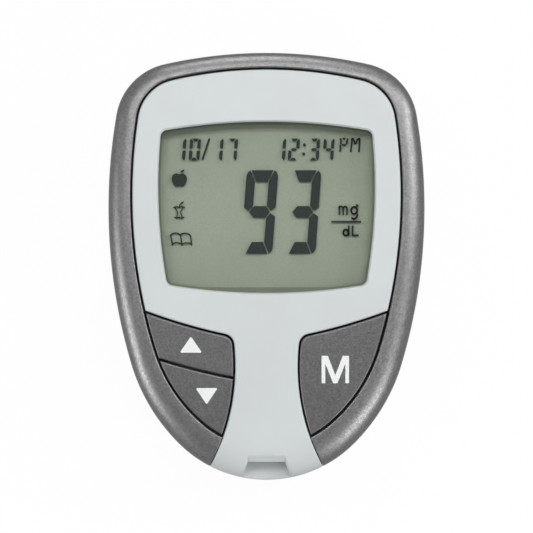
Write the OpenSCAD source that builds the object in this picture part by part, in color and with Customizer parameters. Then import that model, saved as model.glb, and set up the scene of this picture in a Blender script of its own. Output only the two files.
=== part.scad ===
// Handheld blood glucose meter: a rounded two-part case with a wrap-round side trim, a display
// window, three keys, a test strip port and a sliding battery cover over two coin cells.
// Millimetres. The meter lies on its back: +X right, +Y towards the display end, +Z out of the face.

/* [Body] */
// Width of the case at its widest
body_w = 57; // [54:0.5:62]
// Length of the case
body_l = 77; // [74:0.5:84]
// Thickness from the back to the crown of the face
body_h = 23; // [22.5:0.25:26]
// Radius of the gently crowned face
crown_r = 420; // [360:10:900]
// Height of the joint between the rear case and the front
parting_z = 11; // [10.75:0.25:11.5]
// How far the back rounds in from the side
back_roll_w = 5; // [4:0.25:5.25]
// How high the rounding of the back reaches
back_roll_h = 7; // [5:0.25:8]
// Drop of the shoulder of the front for each millimetre of its width
shoulder_ratio = 0.85; // [0.75:0.05:1]
// Fullness of the shoulder, where 2 is an ellipse
shoulder_power = 2.4; // [2:0.1:3]

/* [Shells] */
// Wall of the rear case and of the battery cover
wall = 1.6; // [1.3:0.1:1.8]
// Wall of the side trim
trim_wall = 1.7; // [1.5:0.05:1.8]
// Wall of the front case inside the trim
skirt_wall = 1.4; // [1.2:0.1:1.6]
// Depth from the crown to the underside of the face plate
face_depth = 2.7; // [2.5:0.1:2.9]
// Visible groove between the face, the keys and the trim
groove_w = 0.35; // [0.25:0.05:0.45]
// Seam between the end of the trim and the chin
seam_w = 0.15; // [0.1:0.05:0.25]
// Shadow gap between the trim and the rear case
parting_gap = 0.15; // [0.1:0.05:0.3]
// Broken edge round the face and the keys
edge_break = 0.35; // [0.2:0.05:0.45]

/* [Keys] */
// Radius of the arc along the top edge of the keys
key_top_r = 105; // [102:0.5:107]
// Radius of the arc between the upper and the lower key
key_divider_r = 112.3; // [111:0.1:114]
// Radius of the waisted stem between the keys
stem_r = 38; // [36:0.5:39]
// Radius of the corner where the stem meets the top edge
key_corner_r = 1.9; // [1.5:0.1:2.5]
// Travel of each key
key_travel = 0.6; // [0.4:0.05:0.65]
// How far the key flanges reach under the face
flange_reach = 1.2; // [0.8:0.1:1.3]
// Thickness of the key flanges
flange_t = 1; // [0.8:0.05:1.1]
// How far the keys stand above the crown of the face
key_rise = 0.1; // [0:0.05:0.3]
// Radius of the plungers under the keys
plunger_r = 1.6; // [1.3:0.1:1.8]
// Radius of the snap domes
dome_r = 2.6; // [2.2:0.1:2.8]
// Height of the snap domes
dome_h = 0.75; // [0.7:0.05:0.9]

/* [Display] */
// Half of the greatest width of the display opening
window_half_w = 19.73; // [18.5:0.1:20]
// Distance from the top end of the case to the display opening
window_margin = 12.2; // [12:0.1:13]
// Lowest point of the display opening, from the middle of the case
window_bottom = -4.98; // [-5.1:0.02:-4.5]
// Corner radius of the display opening
window_corner_r = 1.6; // [1.2:0.1:2.5]
// Reach of the lens flange behind the face plate
lens_flange = 1.3; // [1:0.1:1.4]
// Thickness of each display glass
glass_t = 0.7; // [0.5:0.05:0.8]

/* [Power] */
// Diameter of a coin cell
cell_d = 20; // [18:0.1:20.3]
// Height of a coin cell
cell_h = 3.2; // [3:0.05:3.3]
// Distance between the centres of the two cells
cell_pitch = 21.6; // [21:0.1:21.8]
// Half of the width of the battery cover
cover_half_w = 22.2; // [21.9:0.05:22.3]
// Height of the end wall that the battery cover carries
cover_h = 8; // [7.6:0.1:8.2]
// Gap round the battery cover
cover_gap = 0.15; // [0.1:0.05:0.2]

/* [Electronics] */
// Thickness of the circuit board
board_t = 1.2; // [0.8:0.1:1.6]
// Width of a test strip slot
slot_w = 6.8; // [6:0.1:7.2]
// Height of a test strip slot
slot_h = 1.3; // [1:0.05:1.4]
// Radius of a screw shank
screw_r = 0.95; // [0.8:0.05:1.05]
// Radius of a screw head
screw_head_r = 1.9; // [1.6:0.05:2]

/* [Hidden] */
$fn = 96;

small_gap = 0.15;      // between pieces that seat beside each other
dome_gap = 0.07;       // between a plunger and its dome
over = 0.5;            // how far a cutter runs past what it cuts
fuse = 0.1;            // overlap of forms that are one piece

// Outlines of the case, as tangent arcs from the middle of the top edge round to the bottom edge.
// Each arc hands over to the next where the outline faces the given angle.
case_radii = [84.5, 11.3, 98.7, 33.9];
case_turns = [77.4, 9.8, -16.6, -45.8];
case_top = 38.55;
face_radii = [75.6, 8.1, 93.7, 28.2];
face_turns = [76.9, 8.7, -17.5, -50];
face_top = 35.71;

function unit(v) = v / norm(v);
function heading(v) = atan2(v.y, v.x);
function facing(a) = [cos(a), sin(a)];
function mix(a, b, t) = a + (b - a) * t;

// Centres of tangent arcs: each centre lies on the line through the last one and the handover point
function arc_centres(radii, turns, c, k = 0) =
    k == len(radii) - 1 ? [c]
    : concat([c], arc_centres(radii, turns, c + (radii[k] - radii[k + 1]) * facing(turns[k]), k + 1));

// Outline as [radii, turns, centres], closed by one last arc that is centred on the middle line
function tangent_outline(top, radii, turns) =
    let (centres = arc_centres(radii, turns, [0, top - radii[0]]),
         last = len(radii) - 1,
         end_r = radii[last] + centres[last].x / cos(turns[last]),
         end_c = centres[last] + (radii[last] - end_r) * facing(turns[last]))
    [concat(radii, [end_r]), turns, concat(centres, [end_c])];

function arc_index(turns, a, k = 0) = k < len(turns) && a < turns[k] ? arc_index(turns, a, k + 1) : k;
function arc_point(outline, a) =
    let (k = arc_index(outline[1], a)) outline[2][k] + outline[0][k] * facing(a);

case_outline = tangent_outline(case_top, case_radii, case_turns);
face_outline = tangent_outline(face_top, face_radii, face_turns);
natural_half_w = arc_point(case_outline, 0).x;
natural_bottom = arc_point(case_outline, -90).y;
stretch_x = body_w / 2 / natural_half_w;
stretch_y = body_l / (case_top - natural_bottom);
natural_mid = (case_top + natural_bottom) / 2;

// Point of an outline that faces angle a, stretched to the body and moved in by inset
function outline_point(outline, a, inset) =
    let (p = arc_point(outline, a))
    [p.x * stretch_x, (p.y - natural_mid) * stretch_y]
    - inset * unit([cos(a) / stretch_x, sin(a) / stretch_y]);
function case_point(a, inset) = outline_point(case_outline, a, inset);
function face_point(a, inset) = outline_point(face_outline, a, inset);

// Angles at which the outlines are sampled, finer where the arcs are tight
sag = 0.03;
function arc_steps(outline, from, to) =
    let (r = outline[0][arc_index(outline[1], (from + to) / 2)])
    ceil(abs(from - to) / (2 * acos(1 - sag / r)));
// The handover points, the two ends and the widest point always have a sample
stations = concat([90], [for (t = case_turns) if (t > 0) t], [0],
                  [for (t = case_turns) if (t < 0) t], [-90]);
half_angles = concat(
    [for (k = [0 : len(stations) - 2])
        let (from = stations[k], to = stations[k + 1], n = arc_steps(case_outline, from, to))
        for (i = [0 : n - 1]) mix(from, to, i / n)],
    [-90]);

function mirrored(p) = [-p.x, p.y];
function reversed(list) = [for (i = [len(list) - 1 : -1 : 0]) list[i]];
// Clockwise ring from its right half, whose first and last points lie on the middle line
function whole_ring(half) =
    concat(half, [for (i = [len(half) - 2 : -1 : 1]) mirrored(half[i])]);
function case_ring(inset) = whole_ring([for (a = half_angles) case_point(a, inset)]);
function face_ring(inset) = whole_ring([for (a = half_angles) face_point(a, inset)]);

// Height of the crowned face
crown_y = 3;
function crown_z(p) =
    body_h - crown_r + sqrt(crown_r * crown_r - p.x * p.x - (p.y - crown_y) * (p.y - crown_y));
function lifted(ring, z) = [for (p = ring) [p.x, p.y, z]];
function on_crown(ring, rise) = [for (p = ring) [p.x, p.y, crown_z(p) + rise]];

// Ring grown outwards by s with mitred corners
function edge_normal(p, q) = unit([p.y - q.y, q.x - p.x]);
function grown(ring, s) =
    [for (i = [0 : len(ring) - 1])
        let (n = len(ring),
             a = edge_normal(ring[(i + n - 1) % n], ring[i]),
             b = edge_normal(ring[i], ring[(i + 1) % n]))
        ring[i] + s * (a + b) / (1 + a * b)];

function arc_run(c, r, from, to, n) = [for (i = [0 : n]) c + r * facing(mix(from, to, i / n))];
function circle_cross(c1, r1, c2, r2, side) =
    let (d = norm(c2 - c1),
         a = (d * d + r1 * r1 - r2 * r2) / (2 * d),
         h = sqrt(r1 * r1 - a * a),
         u = (c2 - c1) / d)
    c1 + a * u + side * h * [-u.y, u.x];

// Angle at which an outline crosses a circle, found by halving
function cross_angle(outline, inset, c, r, low, high, n = 30) =
    n == 0 ? (low + high) / 2
    : let (mid = (low + high) / 2,
           at_low = norm(outline_point(outline, low, inset) - c) - r,
           at_mid = norm(outline_point(outline, mid, inset) - c) - r)
      at_low * at_mid > 0 ? cross_angle(outline, inset, c, r, mid, high, n - 1)
      : cross_angle(outline, inset, c, r, low, mid, n - 1);
run_step = 3.2;
function outline_run(outline, inset, from, to) =
    let (n = ceil(abs(from - to) / run_step))
    [for (i = [0 : n]) outline_point(outline, mix(from, to, i / n), inset)];

// Circles that shape the right-hand keys; the left-hand keys mirror them
key_top_c = [-14.7, 90.3];
stem_c = [43.8, -18];
half_groove = groove_w / 2;
chin_start = -20;        // below this the stem spreads into the chin
key_corner_c = circle_cross(key_top_c, key_top_r + key_corner_r, stem_c, stem_r - key_corner_r, -1);
corner_from = heading(key_corner_c - stem_c);
corner_to = heading(key_top_c - key_corner_c);

// Facing angles at which the face outline meets an arc about the key centre, and the stem circle
side_angles = [25, -58];
foot_angles = [-20, -80];
chin_angles = [-50, -88];
function key_cross(g, r) =
    cross_angle(face_outline, g, key_top_c, r, side_angles[0], side_angles[1]);
function stem_cross(g) =
    cross_angle(face_outline, g, stem_c, stem_r - g, foot_angles[0], foot_angles[1]);
function top_arc(g, r, from_p, to_p) =
    arc_run(key_top_c, r, heading(from_p - key_top_c), heading(to_p - key_top_c), 6);
corner_steps = 5;
function corner_arc(g) = arc_run(key_corner_c, key_corner_r - g, corner_from, corner_to, corner_steps);

// Rings of the keys on the right, each moved in by g from the middle of its grooves
function key_ring_part(g, r_top, r_low, with_corner, to_stem_end) =
    let (a_top = key_cross(g, r_top),
         a_low = to_stem_end ? stem_cross(g) : key_cross(g, r_low),
         p_top = face_point(a_top, g),
         p_low = face_point(a_low, g),
         stem_top = circle_cross(key_top_c, r_top, stem_c, stem_r - g, -1),
         stem_low = to_stem_end ? p_low : circle_cross(key_top_c, r_low, stem_c, stem_r - g, -1),
         start = with_corner ? corner_arc(g)[corner_steps] : stem_top,
         stem_from = heading(stem_low - stem_c),
         stem_to = with_corner ? corner_from : heading(stem_top - stem_c),
         turn = stem_from < 0 ? stem_from + 360 : stem_from,
         stop = stem_to < 0 ? stem_to + 360 : stem_to,
         top_run = top_arc(g, r_top, start, p_top),
         side_run = outline_run(face_outline, g, a_top, a_low),
         low_run = to_stem_end ? [] : top_arc(g, r_low, p_low, stem_low),
         stem_run = arc_run(stem_c, stem_r - g, turn, stop, 6),
         corner_run = with_corner ? corner_arc(g) : [])
    concat(
        [for (i = [0 : len(top_run) - 2]) top_run[i]],
        [for (i = [0 : len(side_run) - 2]) side_run[i]],
        to_stem_end ? [] : [for (i = [0 : len(low_run) - 2]) low_run[i]],
        [for (i = [0 : len(stem_run) - 2]) stem_run[i]],
        with_corner ? [for (i = [0 : len(corner_run) - 2]) corner_run[i]] : []);
function memory_ring(g) = key_ring_part(g, key_top_r + g, 0, true, true);
function up_ring_right(g) = key_ring_part(g, key_top_r + g, key_divider_r - g, true, false);
function down_ring_right(g) = key_ring_part(g, key_divider_r + g, 0, false, true);
function left_of(ring) = reversed([for (p = ring) mirrored(p)]);

// Ring of the face plate: the outline above the keys, the key edges, the stem and the chin
function face_plate_half() =
    let (g = half_groove,
         a_top = key_cross(g, key_top_r - g),
         p_top = face_point(a_top, g),
         a_chin = cross_angle(case_outline, 0, stem_c, stem_r + g, chin_angles[0], chin_angles[1]),
         p_chin = case_point(a_chin, 0),
         corner = reversed(corner_arc(-g)),
         upper = [for (a = half_angles) if (a > a_top + 0.5) face_point(a, g)],
         key_edge = arc_run(key_top_c, key_top_r - g,
                            heading(p_top - key_top_c), heading(corner[0] - key_top_c), 6),
         stem_turn = heading(p_chin - stem_c) + 360,
         stem = arc_run(stem_c, stem_r + g, corner_from + (corner_from < 0 ? 360 : 0), stem_turn, 10),
         chin = [for (a = half_angles) if (a < a_chin - 0.5) case_point(a, 0)])
    concat(upper, key_edge, [for (i = [1 : len(corner) - 1]) corner[i]],
           [for (i = [1 : len(stem) - 1]) stem[i]], chin);
face_plate_ring = whole_ring(face_plate_half());

// Ring of the display opening, grown outwards by s
window_top = body_l / 2 - window_margin;
window_mid = window_top - 11.8;
window_top_r = 111;
window_bottom_r = 108;
window_side_r = 100;
window_top_c = [0, window_top - window_top_r];
window_bottom_c = [0, window_bottom + window_bottom_r];
window_side_c = [window_half_w - window_side_r, window_mid];
function window_corner(c, r, side) =
    circle_cross(c, r - window_corner_r, window_side_c, window_side_r - window_corner_r, side);
function window_ring(s) =
    let (upper = window_corner(window_top_c, window_top_r, -1),
         lower = window_corner(window_bottom_c, window_bottom_r, 1),
         r = window_corner_r + s,
         top_end = heading(upper - window_top_c),
         side_from = heading(upper - window_side_c),
         side_to = heading(lower - window_side_c),
         low_start = heading(lower - window_bottom_c),
         top = arc_run(window_top_c, window_top_r + s, 90, top_end, 7),
         corner_1 = arc_run(upper, r, top_end, side_from, 6),
         side = arc_run(window_side_c, window_side_r + s, side_from, side_to, 8),
         corner_2 = arc_run(lower, r, side_to, low_start, 6),
         low = arc_run(window_bottom_c, window_bottom_r + s, low_start, -90, 7))
    whole_ring(concat(top, [for (i = [1 : 5]) corner_1[i]], side,
                      [for (i = [1 : 5]) corner_2[i]], low));

// Heights, from the back up
floor_z = wall;
cell_z = floor_z + 0.35;
bay_roof_z = cell_z + cell_h + 0.75;
bay_roof_t = 1.2;
rim_t = 1.6;
board_z = parting_z + 0.4;
board_top = board_z + board_t;
plate_z = body_h - face_depth;
ledge_t = 1.2;
ledge_reach = 4.65;
trim_roof_z = plate_z + 0.2;
lean_z = trim_roof_z - 2.3;
lean_in = 1.6;
flange_top = plate_z - small_gap;
flange_z = flange_top - flange_t;
deck_t = 1.2;
deck_top = flange_z - key_travel - 0.95;
deck_z = deck_top - deck_t;
gasket_t = 0.35;
lens_top = body_h - 1.5;
lens_seat = plate_z - gasket_t;
lens_z = lens_seat - 1;
frame_top = lens_z;
frame_lip_t = 0.6;
front_glass_z = frame_top - frame_lip_t - glass_t;
rear_glass_z = front_glass_z - glass_t;
reflector_t = 0.3;
reflector_z = rear_glass_z - reflector_t;

// Insets from the case outline
skirt_in = trim_wall + small_gap;
skirt_back = skirt_in + skirt_wall;
tongue_in = skirt_back + 0.2;
tongue_t = 1;
board_in = tongue_in + tongue_t + 0.25;

// Strip port and the connector behind it, from the lower end of the case
port_floor = plate_z - 4.1;
port_y = -body_l / 2 + 3.3;
port_inner_half = 3.38;
port_outer_half = 4.65;
port_wall_y = port_y + 1.8;
port_block_half = 7.5;
connector_half = 5.5;
connector_front = port_wall_y + 0.2;
connector_back = connector_front + 8.7;
connector_top = port_floor + slot_h + 0.8;

// Screws: two under the battery cover and one under the stem
upper_screw_y = body_l / 2 - 7.7;
lower_screw_y = connector_back + 7;
screw_spots = [[-11, upper_screw_y], [11, upper_screw_y], [0, lower_screw_y]];
screw_head_h = 1.4;
head_z = floor_z + 0.35;
head_seat_z = head_z + screw_head_h;
screw_tip_z = deck_z;
pilot_top_z = screw_tip_z + 1;
pilot_gap = 0.05;
shank_gap = 0.25;
boss_r = 2.3;
rear_boss_r = 3;
counterbore_r = screw_head_r + 0.25;

// Keys and what they press: centres of the plungers, domes and deck holes
up_spot = [-13.6, -14.4];
down_spot = [-11.2, -23];
memory_spot = [12.9, -18.6];
key_spots = [up_spot, down_spot, memory_spot];
flange_gap = 0.25;
under_gap = 0.35;
collar_w = 1.2;
collar_h = 0.5;

// Display stack, between the upper screws and the keys
frame_half = window_half_w + lens_flange + 0.97;
frame_low = window_bottom - lens_flange - 0.32;
frame_high = upper_screw_y - boss_r - 0.2;
glass_half = frame_half - 1.5;
glass_low = frame_low + 1;
glass_high = frame_high - 0.9;
glass_gap = 0.1;
panel_in = 0.6;          // how far the rear glass stands inside the front glass at the sides
terminal_w = 1.8;        // bare edge of the front glass that the contact strips press on
zebra_rows = [glass_low + terminal_w / 2, glass_high - terminal_w / 2];
zebra_t = 1.4;
zebra_in = 2;

// Deck that guides the plungers, and its legs
deck_end_y = frame_low - 0.4;
deck_leg_y = lower_screw_y + 5.1;
leg_r = 1.2;
deck_legs = [[0, deck_leg_y], [-17.8, deck_end_y - 3.4], [17.8, deck_end_y - 3.4]];

// Cells and their bay, from the upper screws down
contact_room = 3.3;      // between the upper screw bosses and the cells
cell_y = upper_screw_y - rear_boss_r - contact_room - cell_d / 2;
leaf_y = cell_y + cell_d / 2 + 0.1;
leaf_t = 0.3;
tail_half = 0.6;
nest_t = 1.2;
nest_gap = 0.25;
bay_y = cell_y - cell_d / 2 - 4.4;       // lower end of the battery bay
bay_half = (cell_pitch + cell_d) / 2 + 0.2;
bay_wall_t = 1.3;
end_wall_t = 1.2;
cover_y = bay_y + 1.4;                   // lower edge of the battery cover
tongue_z = floor_z + 0.15;
cover_tongue_t = 0.8;
cover_tongue_reach = 0.8;
cover_web_t = 1;
door_zone_y = cell_y + 5.5;              // above this the cover carries the end wall
board_rests = [[-18, -14], [18, -14]];
rest_r = 1.2;

// Contacts in the strip port
contact_rows = [-2.4, -1.2, 0, 1.2, 2.4];
contact_w = 0.5;
contact_t = 0.25;

// Parts on the board
row_y = glass_high - terminal_w - 5.6;
buzzer_r = 5.5;
buzzer_h = 3.2;
buzzer_spot = [-10, bay_y - bay_wall_t - buzzer_r - 2.3];
processor_size = [10, 10, 1.2];
processor_at = [-9, row_y - 14];
memory_size = [5, 6, 1];
memory_at = [7, row_y - 12];
crystal_r = 1.4;
crystal_half = 2;
crystal_h = 2.4;
crystal_spot = [9, buzzer_spot.y + 3];
capacitor_size = [1.6, 0.8, 0.7];
capacitor_pitch = 2.6;
capacitor_at = [-16, row_y];
resistor_size = [1.2, 0.6, 0.5];
resistor_pitch = 2.2;
resistor_at = [3, row_y];

// Colours as seen
face_colour = "#dde2e3";
trim_colour = "#85888b";
key_colour = "#68696b";
back_colour = "#d3d7d9";
board_colour = "#1f6b3c";
metal_colour = "#b9bcbf";
dark_colour = "#222426";

// ---- Shared forms ------------------------------------------------------------------------------

// Solid through a stack of rings that all have the same number of points, clockwise from above
module loft(rings) {
    n = len(rings[0]);
    top = (len(rings) - 1) * n;
    sides = [for (k = [0 : len(rings) - 2]) for (i = [0 : n - 1])
        let (a = k * n + i, b = k * n + (i + 1) % n)
        each [[a, b, b + n], [a, b + n, a + n]]];
    polyhedron(points = [for (ring = rings) each ring],
               faces = concat([[for (i = [n - 1 : -1 : 0]) i]], sides, [[for (i = [0 : n - 1]) top + i]]));
}

module prism(ring, z0, z1) {
    translate([0, 0, z0]) linear_extrude(z1 - z0) polygon(ring);
}

// Closed wall between two outlines
module ring_wall(outer, inner, z0, z1) {
    translate([0, 0, z0]) linear_extrude(z1 - z0) difference() {
        polygon(outer);
        polygon(inner);
    }
}

module block(x0, x1, y0, y1, z0, z1) {
    translate([x0, y0, z0]) cube([x1 - x0, y1 - y0, z1 - z0]);
}

module post(spot, r, z0, z1) {
    translate([spot.x, spot.y, z0]) cylinder(r = r, h = z1 - z0);
}

// Everything under the crowned face, raised by rise
crown_reach = 48;
crown_depth = 12;
module under_crown(rise) {
    translate([0, crown_y, body_h - crown_r + rise])
        rotate_extrude($fn = 180) intersection() {
            circle(r = crown_r, $fn = 1440);
            translate([0, crown_r - crown_depth]) square([crown_reach, crown_depth + 1]);
        }
}

// Shoulder that rolls from the crowned face down to the side, from the case outline to the face outline
roll_angles = [0, 16, 32, 46, 58, 68, 77];
function roll_in(a) = 1 - pow(cos(a), 2 / shoulder_power);
function roll_up(a) = pow(sin(a), 2 / shoulder_power);
function shoulder_drop(a) = shoulder_ratio * norm(case_point(a, 0) - face_point(a, 0));
function shoulder_point(a, t, drop) =
    let (inner = face_point(a, 0), p = mix(case_point(a, 0), inner, t))
    [p.x, p.y, crown_z(inner) - drop];
function mirrored_3d(p) = [-p.x, p.y, p.z];
function whole_ring_3d(half) =
    concat(half, [for (i = [len(half) - 2 : -1 : 1]) mirrored_3d(half[i])]);
function shoulder_ring(t, drop) =
    whole_ring_3d([for (a = half_angles) shoulder_point(a, t, drop)]);
function roll_ring(roll, sink) =
    whole_ring_3d([for (a = half_angles)
        shoulder_point(a, roll_in(roll), shoulder_drop(a) * (1 - roll_up(roll)) + sink)]);
function shoulder_rings(z0, sink) = concat(
    [lifted(case_ring(0), z0)],
    [for (roll = roll_angles) roll_ring(roll, sink)]);

// Rear form: rounded back, moved in by s from the outside
back_angles = [0, 20, 38, 54, 70, 90];
function back_inset(a) = back_roll_w * (1 - sin(a));
function back_height(a) = back_roll_h * (1 - cos(a));
function back_rings(s, z1) = concat(
    [for (a = back_angles)
        let (z = back_height(a)) if (z + s < z1 - 0.5)
        lifted(case_ring(back_inset(a) + s), z + s * cos(a))],
    [lifted(case_ring(s), z1)]);

// Groove that breaks the edge of a plate along its ring, following the crown
module edge_cut(ring, rise) {
    n = len(ring);
    reach = 0.25;
    outer = grown(ring, reach);
    inner = grown(ring, -edge_break - reach);
    corner_rings = [[outer, -edge_break - reach], [outer, reach], [inner, reach]];
    points = [for (c = corner_rings) for (i = [0 : n - 1])
        [c[0][i].x, c[0][i].y, crown_z(ring[i]) + rise + c[1]]];
    sides = [for (k = [0 : 2]) for (i = [0 : n - 1])
        let (this = k * n, next = (k + 1) % 3 * n, j = (i + 1) % n)
        each [[this + i, this + j, next + j], [this + i, next + j, next + i]]];
    polyhedron(points = points, faces = sides);
}

// The stem and chin, below the keys and between the two stem circles, moved out by g
module stem_area(g) {
    difference() {
        translate([-crown_reach / 2, -crown_reach]) square([crown_reach, crown_reach + chin_start]);
        for (s = [-1, 1]) translate([s * stem_c.x, stem_c.y]) circle(r = stem_r - g);
    }
}

// ---- Outside -----------------------------------------------------------------------------------

// Notch that guides a test strip: a tapering tray with a sloped lip at its inner end
module port_cut() {
    end_y = -body_l / 2 - over;
    tray = [[-port_outer_half, end_y], [-port_inner_half, port_y],
            [port_inner_half, port_y], [port_outer_half, end_y]];
    lip_y = port_y + 1.25;
    lip_z = crown_z([0, port_y]) - 1.1;
    lip = [[port_y - over, lip_z], [port_y, lip_z], [lip_y, body_h - 1.6],
           [lip_y, body_h + over], [port_y - over, body_h + over]];
    translate([0, 0, port_floor]) linear_extrude(body_h) polygon(tray);
    rotate([90, 0, 90]) translate([0, 0, -port_inner_half])
        linear_extrude(2 * port_inner_half) polygon(lip);
    block(-slot_w / 2, slot_w / 2, port_y - over, port_wall_y + over, port_floor, port_floor + slot_h);
}

module face_plate() {
    difference() {
        intersection() {
            prism(face_plate_ring, plate_z, body_h + 1);
            under_crown(0);
            loft(concat(shoulder_rings(parting_z, 0),
                        [shoulder_ring(1, -0.06), lifted(face_ring(0), body_h + 2)]));
        }
        edge_cut(face_plate_ring, 0);
    }
}

// Wall that stands inside the trim, then leans in under it to a ledge behind the face plate
module front_skirt() {
    difference() {
        loft([lifted(case_ring(skirt_in), parting_z),
              lifted(case_ring(skirt_in), lean_z - small_gap),
              lifted(case_ring(skirt_in + lean_in), trim_roof_z - 2 * small_gap),
              lifted(case_ring(skirt_in + lean_in), plate_z + fuse)]);
        loft([lifted(case_ring(skirt_back), parting_z - over),
              lifted(case_ring(skirt_back), lean_z - skirt_wall / 2),
              lifted(case_ring(skirt_back + lean_in), plate_z - skirt_wall / 2),
              lifted(case_ring(skirt_back + lean_in), plate_z + over)]);
    }
    ring_wall(case_ring(skirt_in + lean_in), case_ring(skirt_in + ledge_reach),
              plate_z - ledge_t, plate_z + fuse);
}

// Room inside the trim for the wall of the front case
module trim_cavity() {
    loft([lifted(case_ring(trim_wall), 0),
          lifted(case_ring(trim_wall), lean_z),
          lifted(case_ring(trim_wall + lean_in), trim_roof_z)]);
}

// Wall of the chin, flush with the trim on both sides of it
module chin() {
    intersection() {
        loft(concat(shoulder_rings(parting_z, 0), [lifted(face_ring(0), plate_z + fuse)]));
        union() {
            translate([0, 0, parting_z + parting_gap]) linear_extrude(body_h) intersection() {
                stem_area(-half_groove);
                difference() {
                    polygon(case_ring(0));
                    polygon(case_ring(skirt_back));
                }
            }
            block(-port_block_half, port_block_half, -body_l / 2, port_wall_y,
                  board_top + 0.2, plate_z + fuse);
        }
    }
}

module key_pockets() {
    for (ring = [memory_ring(half_groove), left_of(memory_ring(half_groove))]) {
        prism(grown(ring, flange_reach + flange_gap), flange_z - key_travel - under_gap, plate_z);
        prism(grown(ring, groove_w - fuse / 2), plate_z - fuse, plate_z + 2 * fuse);
    }
}

module front_case() color(face_colour) {
    difference() {
        union() {
            face_plate();
            front_skirt();
            chin();
            for (spot = screw_spots) post(spot, boss_r, board_top, plate_z + fuse);
            post([0, deck_leg_y], leg_r, deck_top, plate_z + fuse);
        }
        prism(window_ring(0), plate_z - ledge_t - over, body_h + 1);
        prism(window_ring(lens_flange + small_gap), plate_z - ledge_t - over, plate_z);
        window_relief();
        key_pockets();
        port_cut();
        for (spot = screw_spots) post(spot, screw_r + pilot_gap, board_top - over, pilot_top_z);
    }
}

// Sloped edge inside the display opening
module window_relief() {
    loft([lifted(window_ring(0), lens_top - 0.4),
          lifted(window_ring(0), body_h - 1),
          lifted(window_ring(0.45), body_h - 0.35),
          lifted(window_ring(0.45), body_h + 1)]);
}

module side_trim() color(trim_colour) {
    lip = 0.3;
    difference() {
        loft(concat(shoulder_rings(parting_z + parting_gap, 0.05),
                    [shoulder_ring(0.93, 0.05), shoulder_ring(1, lip + 0.05),
                     lifted(face_ring(1), plate_z)]));
        trim_cavity();
        prism(face_ring(-half_groove), plate_z - over, body_h + 1);
        translate([0, 0, parting_z - over]) linear_extrude(body_h) stem_area(seam_w - half_groove);
    }
}

// A key: crowned cap, a flange behind the face from the plan given as child, and a plunger
module key(ring, spot) {
    difference() {
        intersection() {
            prism(ring, flange_top - fuse, body_h + 1);
            under_crown(key_rise);
        }
        edge_cut(ring, key_rise);
    }
    translate([0, 0, flange_z]) linear_extrude(flange_t) children();
    post(spot, plunger_r, board_top + dome_h + dome_gap, flange_z + fuse);
    post(spot, plunger_r + collar_w, flange_z - collar_h, flange_z + fuse);
}

// Disc inside the groove between the two left-hand keys; their flanges stop short of its edge
module divider_disc(s) {
    translate([-key_top_c.x, key_top_c.y]) circle(r = key_divider_r + s, $fn = 720);
}

module up_button() color(key_colour) {
    ring = left_of(up_ring_right(half_groove));
    key(ring, up_spot) intersection() {
        polygon(grown(ring, flange_reach));
        divider_disc(-groove_w);
    }
}

module down_button() color(key_colour) {
    ring = left_of(down_ring_right(half_groove));
    key(ring, down_spot) difference() {
        polygon(grown(ring, flange_reach));
        divider_disc(groove_w);
    }
}

module memory_button() color(key_colour) {
    ring = memory_ring(half_groove);
    key(ring, memory_spot) polygon(grown(ring, flange_reach));
}

module display_window() color("#aab4b0", 0.35) {
    prism(window_ring(-0.1), lens_seat - fuse, lens_top);
    prism(window_ring(lens_flange), lens_z, lens_seat);
}

module window_gasket() color(dark_colour)
    ring_wall(window_ring(lens_flange), window_ring(0.2), lens_seat, plate_z);

// ---- Rear case and battery cover ---------------------------------------------------------------

cavity_draft = 0.35;     // how far the inner wall leans in at the height of the bay roof

module rear_form() { loft(back_rings(0, parting_z)); }

module rear_cavity() {
    loft([lifted(case_ring(back_roll_w - 0.9), floor_z),
          lifted(case_ring(back_roll_w - 2.4), floor_z + 1.4),
          lifted(case_ring(wall + cavity_draft), floor_z + 3.4),
          lifted(case_ring(wall), back_roll_h + 0.6),
          lifted(case_ring(wall), parting_z - rim_t)]);
}

module cover_zone(gap) {
    block(-cover_half_w - gap, cover_half_w + gap, cover_y - gap, body_l, -over, cover_h + gap);
}

// Tongues along both sides of the cover, which run in grooves and out through the end of the case
module cover_tongues(gap) {
    for (side = [0, 1]) mirror([side, 0, 0])
        block(cover_half_w - cover_web_t, cover_half_w + cover_tongue_reach + gap,
              cover_y - gap, body_l, tongue_z - gap, tongue_z + cover_tongue_t + gap);
}

// Area inside the walls, kept clear of the end wall that the battery cover carries
module bay_area() {
    difference() {
        polygon(case_ring(wall - 0.4));
        difference() {
            translate([-cover_half_w - cover_gap, door_zone_y])
                square([2 * (cover_half_w + cover_gap), body_l]);
            polygon(case_ring(wall + cavity_draft + cover_gap));
        }
        translate([-body_w, -body_l]) square([2 * body_w, body_l + bay_y - bay_wall_t]);
    }
}

module cell_nest(side) {
    translate([side * cell_pitch / 2, cell_y, cell_z + 1]) difference() {
        cylinder(r = cell_d / 2 + nest_t, h = bay_roof_z - cell_z - 1 + fuse);
        translate([0, 0, -over]) cylinder(r = cell_d / 2 + nest_gap, h = bay_roof_z);
    }
}

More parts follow.
